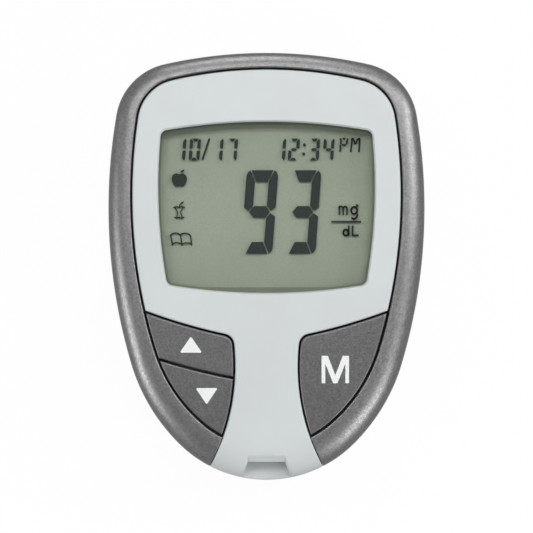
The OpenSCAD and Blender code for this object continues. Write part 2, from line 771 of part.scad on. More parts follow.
module rear_case() color(back_colour) {
    difference() {
        union() {
            difference() {
                rear_form();
                rear_cavity();
                prism(case_ring(skirt_back), parting_z - rim_t - fuse, parting_z + 1);
                cover_zone(cover_gap);
                cover_tongues(cover_gap);
            }
            ring_wall(case_ring(tongue_in - 0.5), case_ring(tongue_in + tongue_t),
                      parting_z - rim_t, parting_z - fuse);
            ring_wall(case_ring(tongue_in), case_ring(tongue_in + tongue_t),
                      parting_z - fuse - over, parting_z + 1.2);
            translate([0, 0, bay_roof_z]) linear_extrude(bay_roof_t) bay_area();
            // end wall inside the one that the cover carries
            translate([0, 0, bay_roof_z + fuse]) linear_extrude(parting_z - rim_t - bay_roof_z)
                difference() {
                    bay_area();
                    polygon(case_ring(wall + cavity_draft + cover_gap + end_wall_t));
                    translate([-body_w, -body_l]) square([2 * body_w, body_l + door_zone_y]);
                }
            // lower wall of the battery bay
            block(-bay_half, bay_half, bay_y - bay_wall_t, bay_y,
                  floor_z - fuse, bay_roof_z + bay_roof_t);
            for (side = [-1, 1]) cell_nest(side);
            for (spot = screw_spots)
                post(spot, rear_boss_r, spot.y > 0 ? head_z : 0, board_z);
            for (spot = board_rests) post(spot, rest_r, floor_z - fuse, board_z);
        }
        for (spot = screw_spots) {
            post(spot, screw_r + shank_gap, 0, board_z + 1);
            post(spot, counterbore_r, -over, head_seat_z);
        }
        for (side = [-1, 1]) {
            // slots for the contact tails, and the gap in each nest for its side contact
            translate([side * cell_pitch / 2, 0, 0]) {
                block(-3.2, 3.2, leaf_y - 1, leaf_y + 1.6, cell_z, bay_roof_z);
                for (y = [leaf_y + 1.7, cell_y + 6])
                    block(-tail_half - leaf_t, tail_half + leaf_t, y, y + 1,
                          bay_roof_z - fuse, bay_roof_z + 2);
            }
        }
    }
}

module battery_door() color(back_colour) {
    difference() {
        intersection() {
            rear_form();
            union() {
                difference() {
                    cover_zone(0);
                    rear_cavity();
                }
                cover_tongues(0);
                for (side = [0, 1]) mirror([side, 0, 0])
                    block(cover_half_w - cover_web_t, cover_half_w, cover_y, body_l,
                          floor_z - fuse, tongue_z + fuse);
            }
        }
        grip_grooves();
    }
}

// Finger grooves near the lower edge of the battery cover
grip_half = 7;
grip_taper = 0.6;
grip_pitch = 1.7;
grip_w = 0.8;
grip_depth = 0.45;
module grip_grooves() {
    for (i = [0 : 4]) {
        half = grip_half - i * grip_taper;
        y = cover_y + 3 + i * grip_pitch;
        block(-half, half, y, y + grip_w, -over, grip_depth);
    }
}

module case_screws() color(metal_colour)
    for (spot = screw_spots) difference() {
        union() {
            post(spot, screw_head_r, head_z, head_seat_z);
            post(spot, screw_r, head_seat_z - fuse, screw_tip_z);
        }
        for (a = [0, 90]) translate([spot.x, spot.y, head_z]) rotate(a)
            cube([2.2, 0.5, 1.2], center = true);
    }

// ---- Inside ------------------------------------------------------------------------------------

module circuit_board() color(board_colour) {
    difference() {
        prism(case_ring(board_in), board_z, board_top);
        for (spot = screw_spots)
            post(spot, screw_r + shank_gap + fuse, board_z - over, board_top + over);
    }
}

module lcd_front_glass() color("#9aa397", 0.6)
    block(-glass_half, glass_half, glass_low, glass_high, front_glass_z, front_glass_z + glass_t);
module lcd_rear_glass() color("#97a094", 0.6)
    block(-glass_half + panel_in, glass_half - panel_in, glass_low + terminal_w,
          glass_high - terminal_w, rear_glass_z, front_glass_z);
module lcd_reflector() color("#a3ab9e")
    block(-glass_half + panel_in, glass_half - panel_in, glass_low + terminal_w,
          glass_high - terminal_w, reflector_z, rear_glass_z);

// Block centred on X that stands in from the edges of the front glass by in_x and in_y
module glass_block(in_x, in_y, z0, z1) {
    block(-glass_half + in_x, glass_half - in_x, glass_low + in_y, glass_high - in_y, z0, z1);
}

module lcd_frame() color("#e8e8e4") {
    sill = 1.2;
    difference() {
        block(-frame_half, frame_half, frame_low, frame_high, board_top, frame_top);
        prism(window_ring(0.5), reflector_z, frame_top + 1);
        glass_block(-glass_gap, -glass_gap, front_glass_z, front_glass_z + glass_t);
        glass_block(panel_in - glass_gap, terminal_w - glass_gap, reflector_z, front_glass_z + fuse);
        glass_block(panel_in + sill, terminal_w + sill, board_top - over, reflector_z + fuse);
        for (y = zebra_rows) zebra(y, glass_gap, over, fuse);
    }
}

module zebra(y, gap, under, above) {
    block(-glass_half + zebra_in - gap, glass_half - zebra_in + gap,
          y - zebra_t / 2 - gap, y + zebra_t / 2 + gap, board_top - under, front_glass_z + above);
}
module zebra_strips() color("#3c3f43") for (y = zebra_rows) zebra(y, 0, 0, 0);

module key_deck() color("#c9ccce") {
    deck_front_y = port_wall_y + 2.4;
    difference() {
        union() {
            translate([0, 0, deck_z]) linear_extrude(deck_t) intersection() {
                polygon(case_ring(skirt_back + 0.2));
                translate([-body_w / 2, deck_front_y]) square([body_w, deck_end_y - deck_front_y]);
            }
            for (spot = deck_legs) post(spot, leg_r, board_top, deck_z + fuse);
        }
        block(-connector_half - 0.4, connector_half + 0.4, -body_l, connector_back + 0.4,
              deck_z - over, deck_top + over);
        post(screw_spots[2], boss_r + 0.2, deck_z - over, deck_top + over);
        for (spot = key_spots) post(spot, plunger_r + flange_gap, deck_z - over, deck_top + over);
    }
}

// Snap dome: a thin spherical cap on the board
dome_t = 0.15;
module dome(spot) color(metal_colour) {
    r = (dome_r * dome_r + dome_h * dome_h) / (2 * dome_h);
    translate([spot.x, spot.y, board_top]) difference() {
        intersection() {
            translate([0, 0, dome_h - r]) sphere(r = r);
            cylinder(r = dome_r + 1, h = dome_h + 1);
        }
        translate([0, 0, dome_h - dome_t - r]) sphere(r = r);
    }
}
module up_dome() dome(up_spot);
module down_dome() dome(down_spot);
module memory_dome() dome(memory_spot);

module strip_connector() color(dark_colour) {
    difference() {
        block(-connector_half, connector_half, connector_front, connector_back, board_top, connector_top);
        block(-slot_w / 2, slot_w / 2, connector_front - over, connector_back - 1,
              port_floor, port_floor + slot_h);
        for (x = contact_rows)
            block(x - 0.35, x + 0.35, connector_front + 1.5, connector_back + over,
                  port_floor + slot_h - fuse, port_floor + slot_h + 0.45);
    }
}

// Sprung blades that wipe the test strip, each bent down behind the connector to the board
module strip_contacts() color("#c9a54c") {
    top = port_floor + slot_h + 0.4;
    low = top - contact_t;
    dip = low - 0.65;
    back = connector_back + 0.3;
    foot = board_top + contact_t;
    blade = [[connector_front + 2, top], [connector_front + 4, dip], [connector_front + 5, dip],
             [connector_back - 2, low], [back - contact_t, low], [back - contact_t, board_top],
             [back + 1, board_top], [back + 1, foot], [back, foot],
             [back, top], [connector_back - 2, top], [connector_front + 5, dip + contact_t],
             [connector_front + 4, dip + contact_t], [connector_front + 2.3, top]];
    for (x = contact_rows)
        rotate([90, 0, 90]) translate([0, 0, x - contact_w / 2]) linear_extrude(contact_w) polygon(blade);
}

module coin_cell(side) color(metal_colour) {
    can_h = cell_h - 0.3;
    translate([side * cell_pitch / 2, cell_y, cell_z]) {
        cylinder(r = cell_d / 2, h = can_h);
        translate([0, 0, can_h - fuse]) cylinder(r = cell_d / 2 - 1.1, h = 0.3 + fuse);
    }
}
module coin_cell_left() coin_cell(-1);
module coin_cell_right() coin_cell(1);

// Leaf contacts: one dips onto the cap of each cell, one stands against the side of its can
module bent_leaf(profile, w) {
    rotate([90, 0, 90]) translate([0, 0, -w / 2]) linear_extrude(w) polygon(profile);
}
module battery_minus_contacts() color("#c9c4b4")
    for (side = [-1, 1]) translate([side * cell_pitch / 2, 0, 0]) {
        low = cell_z + cell_h + 0.05;
        bent_leaf([[cell_y - 6, bay_roof_z - leaf_t], [cell_y - 1, low], [cell_y + 1, low],
                   [cell_y + 4, bay_roof_z - leaf_t], [cell_y + 6.7, bay_roof_z - leaf_t],
                   [cell_y + 6.7, bay_roof_z], [cell_y + 3.8, bay_roof_z], [cell_y + 0.9, low + leaf_t],
                   [cell_y - 0.9, low + leaf_t], [cell_y - 5.8, bay_roof_z]], 2.4);
        block(-tail_half, tail_half, cell_y + 6.7 - leaf_t, cell_y + 6.7, bay_roof_z - leaf_t, board_z);
    }
module battery_plus_contacts() color("#c9c4b4")
    for (side = [-1, 1]) translate([side * cell_pitch / 2, 0, 0]) {
        bent_leaf([[leaf_y, cell_z + 0.6], [leaf_y + leaf_t, cell_z + 0.6],
                   [leaf_y + leaf_t, bay_roof_z - leaf_t], [leaf_y + 2.4, bay_roof_z - leaf_t],
                   [leaf_y + 2.4, bay_roof_z], [leaf_y, bay_roof_z]], 4);
        block(-tail_half, tail_half, leaf_y + 2.4 - leaf_t, leaf_y + 2.4, bay_roof_z - leaf_t, board_z);
    }

module buzzer() color(dark_colour)
    translate([buzzer_spot.x, buzzer_spot.y, board_z - buzzer_h]) difference() {
        cylinder(r = buzzer_r, h = buzzer_h);
        translate([0, 0, -over]) cylinder(r = 0.8, h = 1 + over);
    }

// Block on the board with its lower left corner at a place
module chip(at, size) {
    translate([at.x, at.y, board_top]) cube(size);
}
module processor_chip() color(dark_colour) chip(processor_at, processor_size);
module memory_chip() color(dark_colour) chip(memory_at, memory_size);
module crystal() color(metal_colour)
    translate([crystal_spot.x, crystal_spot.y, board_z - crystal_h]) linear_extrude(crystal_h)
        hull() for (side = [-1, 1]) translate([side * crystal_half, 0]) circle(r = crystal_r, $fn = 32);
module capacitors() color("#b08a5a")
    for (i = [0 : 4]) chip(capacitor_at + [i * capacitor_pitch, 0], capacitor_size);
module resistors() color(dark_colour)
    for (i = [0 : 5]) chip(resistor_at + [i * resistor_pitch, 0], resistor_size);

front_case();
side_trim();
display_window();
window_gasket();
up_button();
down_button();
memory_button();
rear_case();
battery_door();
case_screws();
circuit_board();
lcd_front_glass();
lcd_rear_glass();
lcd_reflector();
lcd_frame();
zebra_strips();
key_deck();
up_dome();
down_dome();
memory_dome();
strip_connector();
strip_contacts();
battery_plus_contacts();
battery_minus_contacts();
coin_cell_left();
coin_cell_right();
buzzer();
processor_chip();
memory_chip();
crystal();
capacitors();
resistors();
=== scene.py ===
"""Looks of a handheld blood glucose meter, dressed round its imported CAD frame.

The meter lies on its back, +X right, +Y towards the display end and +Z out of the face. Sizes are
in millimetres and become metres where a mesh is made.
"""

import logging
import math
from collections.abc import Callable, Iterable, Sequence
from dataclasses import dataclass, field
from enum import Enum

import bmesh
import bpy
import numpy as np
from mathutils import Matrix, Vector
from mathutils.bvhtree import BVHTree
from mathutils.geometry import delaunay_2d_cdt


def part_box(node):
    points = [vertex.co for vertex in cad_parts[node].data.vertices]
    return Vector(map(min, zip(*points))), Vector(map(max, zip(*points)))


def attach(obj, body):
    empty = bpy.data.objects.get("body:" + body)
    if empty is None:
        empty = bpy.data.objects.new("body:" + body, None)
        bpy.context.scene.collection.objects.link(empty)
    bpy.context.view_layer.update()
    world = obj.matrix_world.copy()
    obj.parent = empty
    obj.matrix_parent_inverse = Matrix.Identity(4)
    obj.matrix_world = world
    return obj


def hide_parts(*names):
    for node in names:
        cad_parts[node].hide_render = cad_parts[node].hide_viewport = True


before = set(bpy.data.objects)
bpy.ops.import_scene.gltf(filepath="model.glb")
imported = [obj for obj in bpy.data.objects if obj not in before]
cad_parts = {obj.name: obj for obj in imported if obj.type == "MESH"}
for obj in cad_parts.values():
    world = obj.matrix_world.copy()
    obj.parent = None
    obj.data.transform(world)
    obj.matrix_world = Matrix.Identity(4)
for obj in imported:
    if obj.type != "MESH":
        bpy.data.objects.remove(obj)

MM = 0.001
BOARD_Z = 12.6
SCREW_SPOTS = ((-11.0, 30.8), (11.0, 30.8), (0.0, -17.5))
log = logging.getLogger("meter")

Point = np.ndarray
Loop = np.ndarray


class Body(Enum):
    """The bodies of the CAD frame that pieces ride on."""

    HOUSING = "housing"
    UP_KEY = "up_key"
    DOWN_KEY = "down_key"
    MEMORY_KEY = "memory_key"
    BATTERY_COVER = "battery_cover"


class Slot(Enum):
    """The record's material slots that new pieces take their finish from."""

    FACE = "face"
    TRIM = "trim"
    KEY = "key"
    BACK = "back"
    LENS = "lens"
    STEEL = "steel"
    GOLD = "gold"
    PASSIVE = "passive"


# ---- Plane geometry ---------------------------------------------------------------------------


def facing(degrees: float) -> Point:
    """Unit vector that faces an angle in degrees."""
    turn = math.radians(degrees)
    return np.array([math.cos(turn), math.sin(turn)])


def heading(v: Point) -> float:
    """Angle of a vector in degrees, from -180 to 180."""
    return math.degrees(math.atan2(v[1], v[0]))


def unit(v: Point) -> Point:
    """The vector scaled to length 1."""
    return v / np.linalg.norm(v)


def mix(a: float | Point, b: float | Point, t: float) -> float | Point:
    """The value a share t of the way from a to b."""
    return a + (b - a) * t


def ease(t: float) -> float:
    """Smooth step from 0 to 1."""
    t = min(1.0, max(0.0, t))
    return t * t * (3 - 2 * t)


def bisect(miss: Callable[[float], float], low: float, high: float) -> float:
    """Where a function crosses zero between two values.

    Args:
        miss: Function that has opposite signs at the two ends.
        low: One end.
        high: The other end.

    Returns:
        The value where the sign changes.
    """
    at_low = miss(low)
    for _ in range(44):
        middle = (low + high) / 2
        at_middle = miss(middle)
        if (at_low > 0) == (at_middle > 0):
            low, at_low = middle, at_middle
        else:
            high = middle
    return (low + high) / 2


def arc_run(centre: Point, radius: float, start: float, end: float, steps: int) -> Loop:
    """Points along an arc, both ends among them."""
    return np.array([centre + radius * facing(mix(start, end, i / steps)) for i in range(steps + 1)])


def circle_cross(c1: Point, r1: float, c2: Point, r2: float, side: int) -> Point:
    """Crossing of two circles, on the left (1) or right (-1) of the line from c1 to c2.

    Args:
        c1: Centre of the first circle.
        r1: Its radius.
        c2: Centre of the second circle.
        r2: Its radius.
        side: 1 for the left, -1 for the right.

    Returns:
        The crossing.
    """
    apart = float(np.linalg.norm(c2 - c1))
    along = (apart**2 + r1**2 - r2**2) / (2 * apart)
    across = math.sqrt(max(0.0, r1**2 - along**2))
    u = (c2 - c1) / apart
    return c1 + along * u + side * across * np.array([-u[1], u[0]])


def mirrored(points: Loop) -> Loop:
    """Points mirrored across the middle plane of the meter.

    Args:
        points: Points of the plane or of space.

    Returns:
        Their mirror image.
    """
    flip = np.array(points, float)
    flip[..., 0] *= -1
    return flip


def whole(half: Loop) -> Loop:
    """Closed ring from its right half, whose first and last points lie on the middle plane."""
    return np.concatenate([half, mirrored(half[-2:0:-1])])


def inside(points: Loop, ring: Loop) -> np.ndarray:
    """Which points lie inside a closed ring, counted by crossings of a ray along X.

    Args:
        points: Plane points.
        ring: The closed ring.

    Returns:
        Whether each point lies inside.
    """
    x, y = points[:, 0][:, None], points[:, 1][:, None]
    x0, y0 = ring[:, 0], ring[:, 1]
    x1, y1 = np.roll(x0, -1), np.roll(y0, -1)
    rise = np.where(y1 == y0, 1e-12, y1 - y0)
    crosses = ((y0 > y) != (y1 > y)) & (x < (x1 - x0) * (y - y0) / rise + x0)
    return crosses.sum(axis=1) % 2 == 1


def fill(rings: Sequence[Loop], spacing: float = 0.0, margin: float = 0.5) -> tuple[Loop, list]:
    """Triangles over the area inside the first ring and outside the others.

    Args:
        rings: Closed rings of plane points, the outer one first and then the holes.
        spacing: Distance between added inner points, or 0 for none.
        margin: Least distance of an inner point from the rings, as a share of spacing.

    Returns:
        The plane points and the triangles as index triples.
    """
    points = [Vector((float(p[0]), float(p[1]))) for ring in rings for p in ring]
    edges, start = [], 0
    for ring in rings:
        count = len(ring)
        edges += [(start + i, start + (i + 1) % count) for i in range(count)]
        start += count
    if spacing:
        low, high = rings[0].min(axis=0), rings[0].max(axis=0)
        xs = np.arange(low[0] + spacing / 2, high[0], spacing)
        ys = np.arange(low[1] + spacing / 2, high[1], spacing * 0.866)
        grid = np.array([(x + (j % 2) * spacing / 2, y) for j, y in enumerate(ys) for x in xs])
        keep = inside(grid, rings[0])
        for hole in rings[1:]:
            keep &= ~inside(grid, hole)
        for ring in rings:
            gaps = np.linalg.norm(grid[:, None, :] - ring[None, :, :2], axis=2).min(axis=1)
            keep &= gaps > margin * spacing
        points += [Vector((float(p[0]), float(p[1]))) for p in grid[keep]]
    made = delaunay_2d_cdt(points, edges, [], 0, 1e-5)
    plane = np.array([(p.x, p.y) for p in made[0]])
    faces = [tuple(f) for f in made[2]]
    middles = np.array([plane[list(f)].mean(axis=0) for f in faces])
    keep = inside(middles, rings[0])
    for hole in rings[1:]:
        keep &= ~inside(middles, hole)
    return plane, [f for f, k in zip(faces, keep) if k]


# ---- Meshes -----------------------------------------------------------------------------------


class Draft:
    """Patches in millimetres that are welded into one closed mesh."""

    def __init__(self) -> None:
        """Starts empty."""
        self.points: list[Sequence[float]] = []
        self.faces: list[tuple[int, ...]] = []
        self.paint = 0
        self.paints: list[int] = []

    def grid(self, rows: Sequence[Loop], closed: bool = False, looped: bool = False) -> None:
        """Adds a sheet of four-sided faces through rows of points.

        Args:
            rows: Rows with the same number of points.
            closed: Whether each row ends where it starts.
            looped: Whether the last row joins the first.
        """
        count, start = len(rows[0]), len(self.points)
        for row in rows:
            self.points += [tuple(map(float, p)) for p in row]
        for r in range(len(rows) if looped else len(rows) - 1):
            low, high = start + r * count, start + (r + 1) % len(rows) * count
            for c in range(count if closed else count - 1):
                d = (c + 1) % count
                self.faces.append((low + c, low + d, high + d, high + c))
                self.paints.append(self.paint)

    def capped(self, rows: Sequence[Loop]) -> None:
        """Adds a closed solid from the rings along it, with a polygon at each end.

        Args:
            rows: The rings, with as many points each.
        """
        self.grid(rows, closed=True)
        self.polygon(rows[0])
        self.polygon(rows[-1])

    def triangles(self, points: Loop, faces: Iterable[Sequence[int]]) -> None:
        """Adds triangles over points in space.

        Args:
            points: The points.
            faces: The triangles, as indices of the points.
        """
        start = len(self.points)
        self.points += [tuple(map(float, p)) for p in points]
        added = [tuple(start + i for i in f) for f in faces]
        self.faces += added
        self.paints += [self.paint] * len(added)

    def polygon(self, points: Loop) -> None:
        """Adds one flat face.

        Args:
            points: Its corners in order.
        """
        start = len(self.points)
        self.points += [tuple(map(float, p)) for p in points]
        self.faces.append(tuple(range(start, start + len(points))))
        self.paints.append(self.paint)

    def sheet(
        self,
        rings: Sequence[Loop],
        height: Callable[[Loop], np.ndarray],
        spacing: float = 0.0,
    ) -> None:
        """Adds a filled area at the height that a function gives for plane points."""
        plane, faces = fill([np.asarray(r)[:, :2] for r in rings], spacing)
        self.triangles(np.column_stack([plane, height(plane)]), faces)

    def make(self, name: str, smooth_below: float = 32.0, weld: float = 0.002) -> bpy.types.Object:
        """Welds the patches and makes an object of them.

        Args:
            name: Name of the object.
            smooth_below: Edges that turn less than this angle in degrees are shaded smooth.
            weld: Distance in millimetres within which points become one, or 0 for none.

        Returns:
            The object, at the origin, with faces that point outwards.
        """
        mesh = bpy.data.meshes.new(name)
        mesh.from_pydata([[c * MM for c in p] for p in self.points], [], self.faces)
        bm = bmesh.new()
        bm.from_mesh(mesh)
        for face, paint in zip(bm.faces, self.paints):
            face.material_index = paint
        if weld:
            bmesh.ops.remove_doubles(bm, verts=bm.verts, dist=weld * MM)
            bmesh.ops.dissolve_degenerate(bm, dist=weld * MM / 4, edges=bm.edges)
        bmesh.ops.recalc_face_normals(bm, faces=bm.faces)
        crease_edges(bm, smooth_below)
        bm.to_mesh(mesh)
        bm.free()
        made = bpy.data.objects.new(name, mesh)
        bpy.context.scene.collection.objects.link(made)
        return made


def crease_edges(bm: bmesh.types.BMesh, smooth_below: float) -> None:
    """Shades a mesh smooth, apart from the edges that turn more than an angle in degrees.

    Args:
        bm: The mesh.
        smooth_below: The angle in degrees.
    """
    limit = math.radians(smooth_below)
    for face in bm.faces:
        face.smooth = True
    for edge in bm.edges:
        edge.smooth = len(edge.link_faces) == 2 and edge.calc_face_angle(0.0) < limit


def flat(z: float) -> Callable[[Loop], np.ndarray]:
    """Height function of a level plane."""
    return lambda plane: np.full(len(plane), z)


def lifted(ring: Loop, z: float) -> Loop:
    """A plane ring at a level."""
    return np.column_stack([ring[:, :2], np.full(len(ring), z)])


def open_edges(piece: bpy.types.Object) -> int:
    """Number of edges of a piece that don't join exactly two faces.

    Args:
        piece: The piece.

    Returns:
        The number, 0 for a closed piece.
    """
    bm = bmesh.new()
    bm.from_mesh(piece.data)
    count = sum(1 for e in bm.edges if len(e.link_faces) != 2)
    bm.free()
    return count


def settled(piece: bpy.types.Object) -> bpy.types.Object:
    """Turns a piece's live modifiers into its plain mesh and removes them.

    Args:
        piece: The piece.

    Returns:
        The piece.
    """
    bpy.context.view_layer.update()
    graph = bpy.context.evaluated_depsgraph_get()
    mesh = bpy.data.meshes.new_from_object(piece.evaluated_get(graph))
    piece.modifiers.clear()
    piece.data = mesh
    return piece


def carve(piece: bpy.types.Object, tool: bpy.types.Object, keep_both: bool = False) -> None:
    """Cuts a closed tool out of a piece, or joins the two.

    Args:
        piece: The closed piece.
        tool: The closed tool, which is removed afterwards.
        keep_both: Whether the tool is joined on instead of cut out.
    """
    modifier = piece.modifiers.new("carve", "BOOLEAN")
    modifier.operation = "UNION" if keep_both else "DIFFERENCE"
    modifier.solver = "EXACT"
    modifier.object = tool
    settled(piece)
    bpy.data.objects.remove(tool)


def tidied(piece: bpy.types.Object, smooth_below: float) -> bpy.types.Object:
    """Welds a piece again and sets which of its edges are shaded sharp.

    Args:
        piece: The piece.
        smooth_below: Edges that turn less than this angle in degrees are smooth.

    Returns:
        The piece.
    """
    bm = bmesh.new()
    bm.from_mesh(piece.data)
    bmesh.ops.remove_doubles(bm, verts=bm.verts, dist=0.001 * MM)
    bmesh.ops.dissolve_degenerate(bm, dist=0.0005 * MM, edges=bm.edges)
    crease_edges(bm, smooth_below)
    bm.to_mesh(piece.data)
    bm.free()
    return piece


def copy_of_node(node: str, name: str, smooth_below: float) -> bpy.types.Object:
    """A welded copy of a CAD node, to shade smooth where the node's own mesh is loose triangles.

    Args:
        node: The CAD node.
        name: Name of the copy.
        smooth_below: Edges that turn less than this angle in degrees are smooth.

    Returns:
        The copy.
    """
    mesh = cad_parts[node].data.copy()
    mesh.materials.clear()
    piece = bpy.data.objects.new(name, mesh)
    bpy.context.scene.collection.objects.link(piece)
    return tidied(piece, smooth_below)


def seat(
    piece: bpy.types.Object,
    body: Body,
    materials: Sequence[bpy.types.Material] = (),
    stands_for: Sequence[str] = (),
) -> bpy.types.Object:
    """Dresses a piece and puts it on its body.

    Args:
        piece: The finished piece.
        body: The CAD body that it moves with.
        materials: Its materials, or none where it already has its own.
        stands_for: The CAD nodes that it stands for.

    Returns:
        The piece.
    """
    if materials:
        kept = [face.material_index for face in piece.data.polygons]
        piece.data.materials.clear()
        for material in materials:
            piece.data.materials.append(material)
        piece.data.polygons.foreach_set("material_index", [min(i, len(materials) - 1) for i in kept])
    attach(piece, body.value)
    if stands_for:
        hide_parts(*stands_for)
    log.info("%s: %d faces, %d open edges", piece.name, len(piece.data.polygons), open_edges(piece))
    return piece


# ---- Shape of the meter -----------------------------------------------------------------------


@dataclass(frozen=True)
class Outline:
    """Half of a plan outline made of tangent arcs, from the middle of its top edge to its bottom."""

    top: float
    radii: tuple[float, ...]
    turns: tuple[float, ...]

    def arcs(self) -> list[tuple[Point, float]]:
        """Centre and radius of each arc; the last one is centred on the middle line.

        Returns:
            The arcs from the top to the bottom.
        """
        centre = np.array([0.0, self.top - self.radii[0]])
        found = [(centre, self.radii[0])]
        for k, turn in enumerate(self.turns[:-1]):
            centre = centre + (self.radii[k] - self.radii[k + 1]) * facing(turn)
            found.append((centre, self.radii[k + 1]))
        last, radius = self.turns[-1], self.radii[-1]
        end = radius + centre[0] / math.cos(math.radians(last))
        found.append((centre + (radius - end) * facing(last), end))
        return found

    def point(self, angle: float) -> Point:
        """The outline's point that faces an angle in degrees.

        Args:
            angle: The angle, from 90 at the top to -90 at the bottom.

        Returns:
            The point, before the stretch to the real size.
        """
        k = sum(1 for turn in self.turns if angle < turn)
        centre, radius = self.arcs()[k]
        return centre + radius * facing(angle)


@dataclass
class MeterShape:
    """Sizes and outlines that all the outside pieces share."""

    width: float = 57.0
    length: float = 77.0
    height: float = 23.0
    crown_radius: float = 420.0
    crown_y: float = 3.0
    parting: float = 11.15
    shoulder_ratio: float = 0.85
    shoulder_power: float = 2.4
    case: Outline = Outline(38.55, (84.5, 11.3, 98.7, 33.9), (77.4, 9.8, -16.6, -45.8))
    face: Outline = Outline(35.71, (75.6, 8.1, 93.7, 28.2), (76.9, 8.7, -17.5, -50.0))
    half_groove: float = 0.175
    seam: float = 0.15
    edge_round: float = 0.36
    plate_z: float = 20.3
    key_top_c: Point = field(default_factory=lambda: np.array([-14.7, 90.3]))
    key_top_r: float = 105.0
    key_divider_r: float = 112.3
    stem_c: Point = field(default_factory=lambda: np.array([43.8, -18.0]))
    stem_r: float = 38.0
    corner_r: float = 1.9
    skirt_back: float = 3.25

    def __post_init__(self) -> None:
        """Works out the stretch to the real size and the corner between the stem and the keys."""
        bottom = self.case.point(-90)[1]
        self.stretch = np.array([
            self.width / 2 / self.case.point(0)[0],
            self.length / (self.case.top - bottom),
        ])
        self.middle = np.array([0.0, (self.case.top + bottom) / 2])
        self.corner_c = circle_cross(
            self.key_top_c, self.key_top_r + self.corner_r, self.stem_c, self.stem_r - self.corner_r, -1
        )
        self.corner_from = heading(self.corner_c - self.stem_c)
        self.corner_to = heading(self.key_top_c - self.corner_c)

    def outline_point(self, outline: Outline, angle: float, inset: float = 0.0) -> Point:
        """Point of an outline that faces an angle, moved in by an inset.

        Args:
            outline: The outline.
            angle: The angle in degrees.
            inset: How far inside the outline it lies.

        Returns:
            The point at the real size.
        """
        turn = math.radians(angle)
        out = unit(np.array([math.cos(turn), math.sin(turn)]) / self.stretch)
        return (outline.point(angle) - self.middle) * self.stretch - inset * out

    def case_point(self, angle: float, inset: float = 0.0) -> Point:
        """Point of the case outline."""
        return self.outline_point(self.case, angle, inset)

    def face_point(self, angle: float, inset: float = 0.0) -> Point:
        """Point of the face outline."""
        return self.outline_point(self.face, angle, inset)

    def angles(self, steps: float = 0.6) -> list[float]:
        """Facing angles from 90 to -90 whose points lie about the given distance apart.

        Args:
            steps: The distance in millimetres.

        Returns:
            The angles in degrees.
        """
        stops = [90.0, *self.case.turns, -90.0]
        found: list[float] = []
        for k, (start, end) in enumerate(zip(stops, stops[1:])):
            radius = self.case.arcs()[k][1]
            count = max(6, math.ceil(math.radians(start - end) * radius / steps))
            found += [mix(start, end, i / count) for i in range(count)]
        return [*found, -90.0]

    def crown(self, plane: Loop) -> np.ndarray:
        """Height of the crowned face over plane points.

        Args:
            plane: One plane point or several.

        Returns:
            A height for each.
        """
        plane = np.atleast_2d(plane)
        reach = self.crown_radius**2 - plane[:, 0] ** 2 - (plane[:, 1] - self.crown_y) ** 2
        return self.height - self.crown_radius + np.sqrt(reach)

    def shoulder(self, angle: float, roll: float) -> Point:
        """Point of the shoulder, from the side wall (roll 0) up to the crowned face (roll 90).

        Args:
            angle: Facing angle in degrees.
            roll: Level of the shoulder.

        Returns:
            The point.
        """
        turn = math.radians(roll)
        share = 1 - max(0.0, math.cos(turn)) ** (2 / self.shoulder_power)
        up = math.sin(turn) ** (2 / self.shoulder_power)
        outer, inner = self.case_point(angle), self.face_point(angle)
        plane = mix(outer, inner, share)
        low, high, here = (float(self.crown(p)[0]) for p in (outer, inner, plane))
        drop = self.shoulder_ratio * float(np.linalg.norm(outer - inner)) - (high - low)
        return np.array([plane[0], plane[1], here - drop * (1 - up)])

    def shoulder_normal(self, angle: float, roll: float) -> Point:
        """Outward normal of the shoulder.

        Args:
            angle: Facing angle in degrees.
            roll: Level of the shoulder.

        Returns:
            The unit normal.
        """
        along = self.shoulder(angle - 0.2, roll) - self.shoulder(angle + 0.2, roll)
        up = self.shoulder(angle, min(90.0, roll + 1.5)) - self.shoulder(angle, max(0.0, roll - 1.5))
        normal = np.cross(up, along)
        out = np.array([*facing(angle), 0.6])
        return unit(normal if normal @ out > 0 else -normal)

    def crown_normal(self, p: Point) -> Point:
        """Outward normal of the crowned face."""
        lift = float(self.crown(p)[0]) - self.height + self.crown_radius
        return unit(np.array([p[0], p[1] - self.crown_y, lift]))

    def key_cross(self, inset: float, radius: float) -> float:
        """Facing angle at which the face outline meets an arc about the keys' centre.

        Args:
            inset: Inset from the face outline.
            radius: Radius of the arc.

        Returns:
            The angle in degrees.
        """
        return bisect(
            lambda a: np.linalg.norm(self.face_point(a, inset) - self.key_top_c) - radius, 25.0, -58.0
        )

    def stem_cross(self, outline: Outline, inset: float, radius: float, low: float, high: float) -> float:
        """Facing angle at which an outline meets a circle about the stem's centre.

        Args:
            outline: The outline.
            inset: Inset from it.
            radius: Radius of the circle.
            low: Angle on one side of the crossing.
            high: Angle on its other side.

        Returns:
            The angle in degrees.
        """
        return bisect(
            lambda a: np.linalg.norm(self.outline_point(outline, a, inset) - self.stem_c) - radius,
            low, high,
        )

    def shoulder_cross(self, roll: float, radius: float) -> float:
        """Facing angle at which one level of the shoulder meets a circle about the stem's centre.

        Args:
            roll: Level of the shoulder.
            radius: Radius of the circle.

        Returns:
            The angle in degrees.
        """
        return bisect(
            lambda a: np.linalg.norm(self.shoulder(a, roll)[:2] - self.stem_c) - radius, -48.0, -88.0
        )


class KeyKind(Enum):
    """The three keys of the meter."""

    UP = "up"
    DOWN = "down"
    MEMORY = "memory"


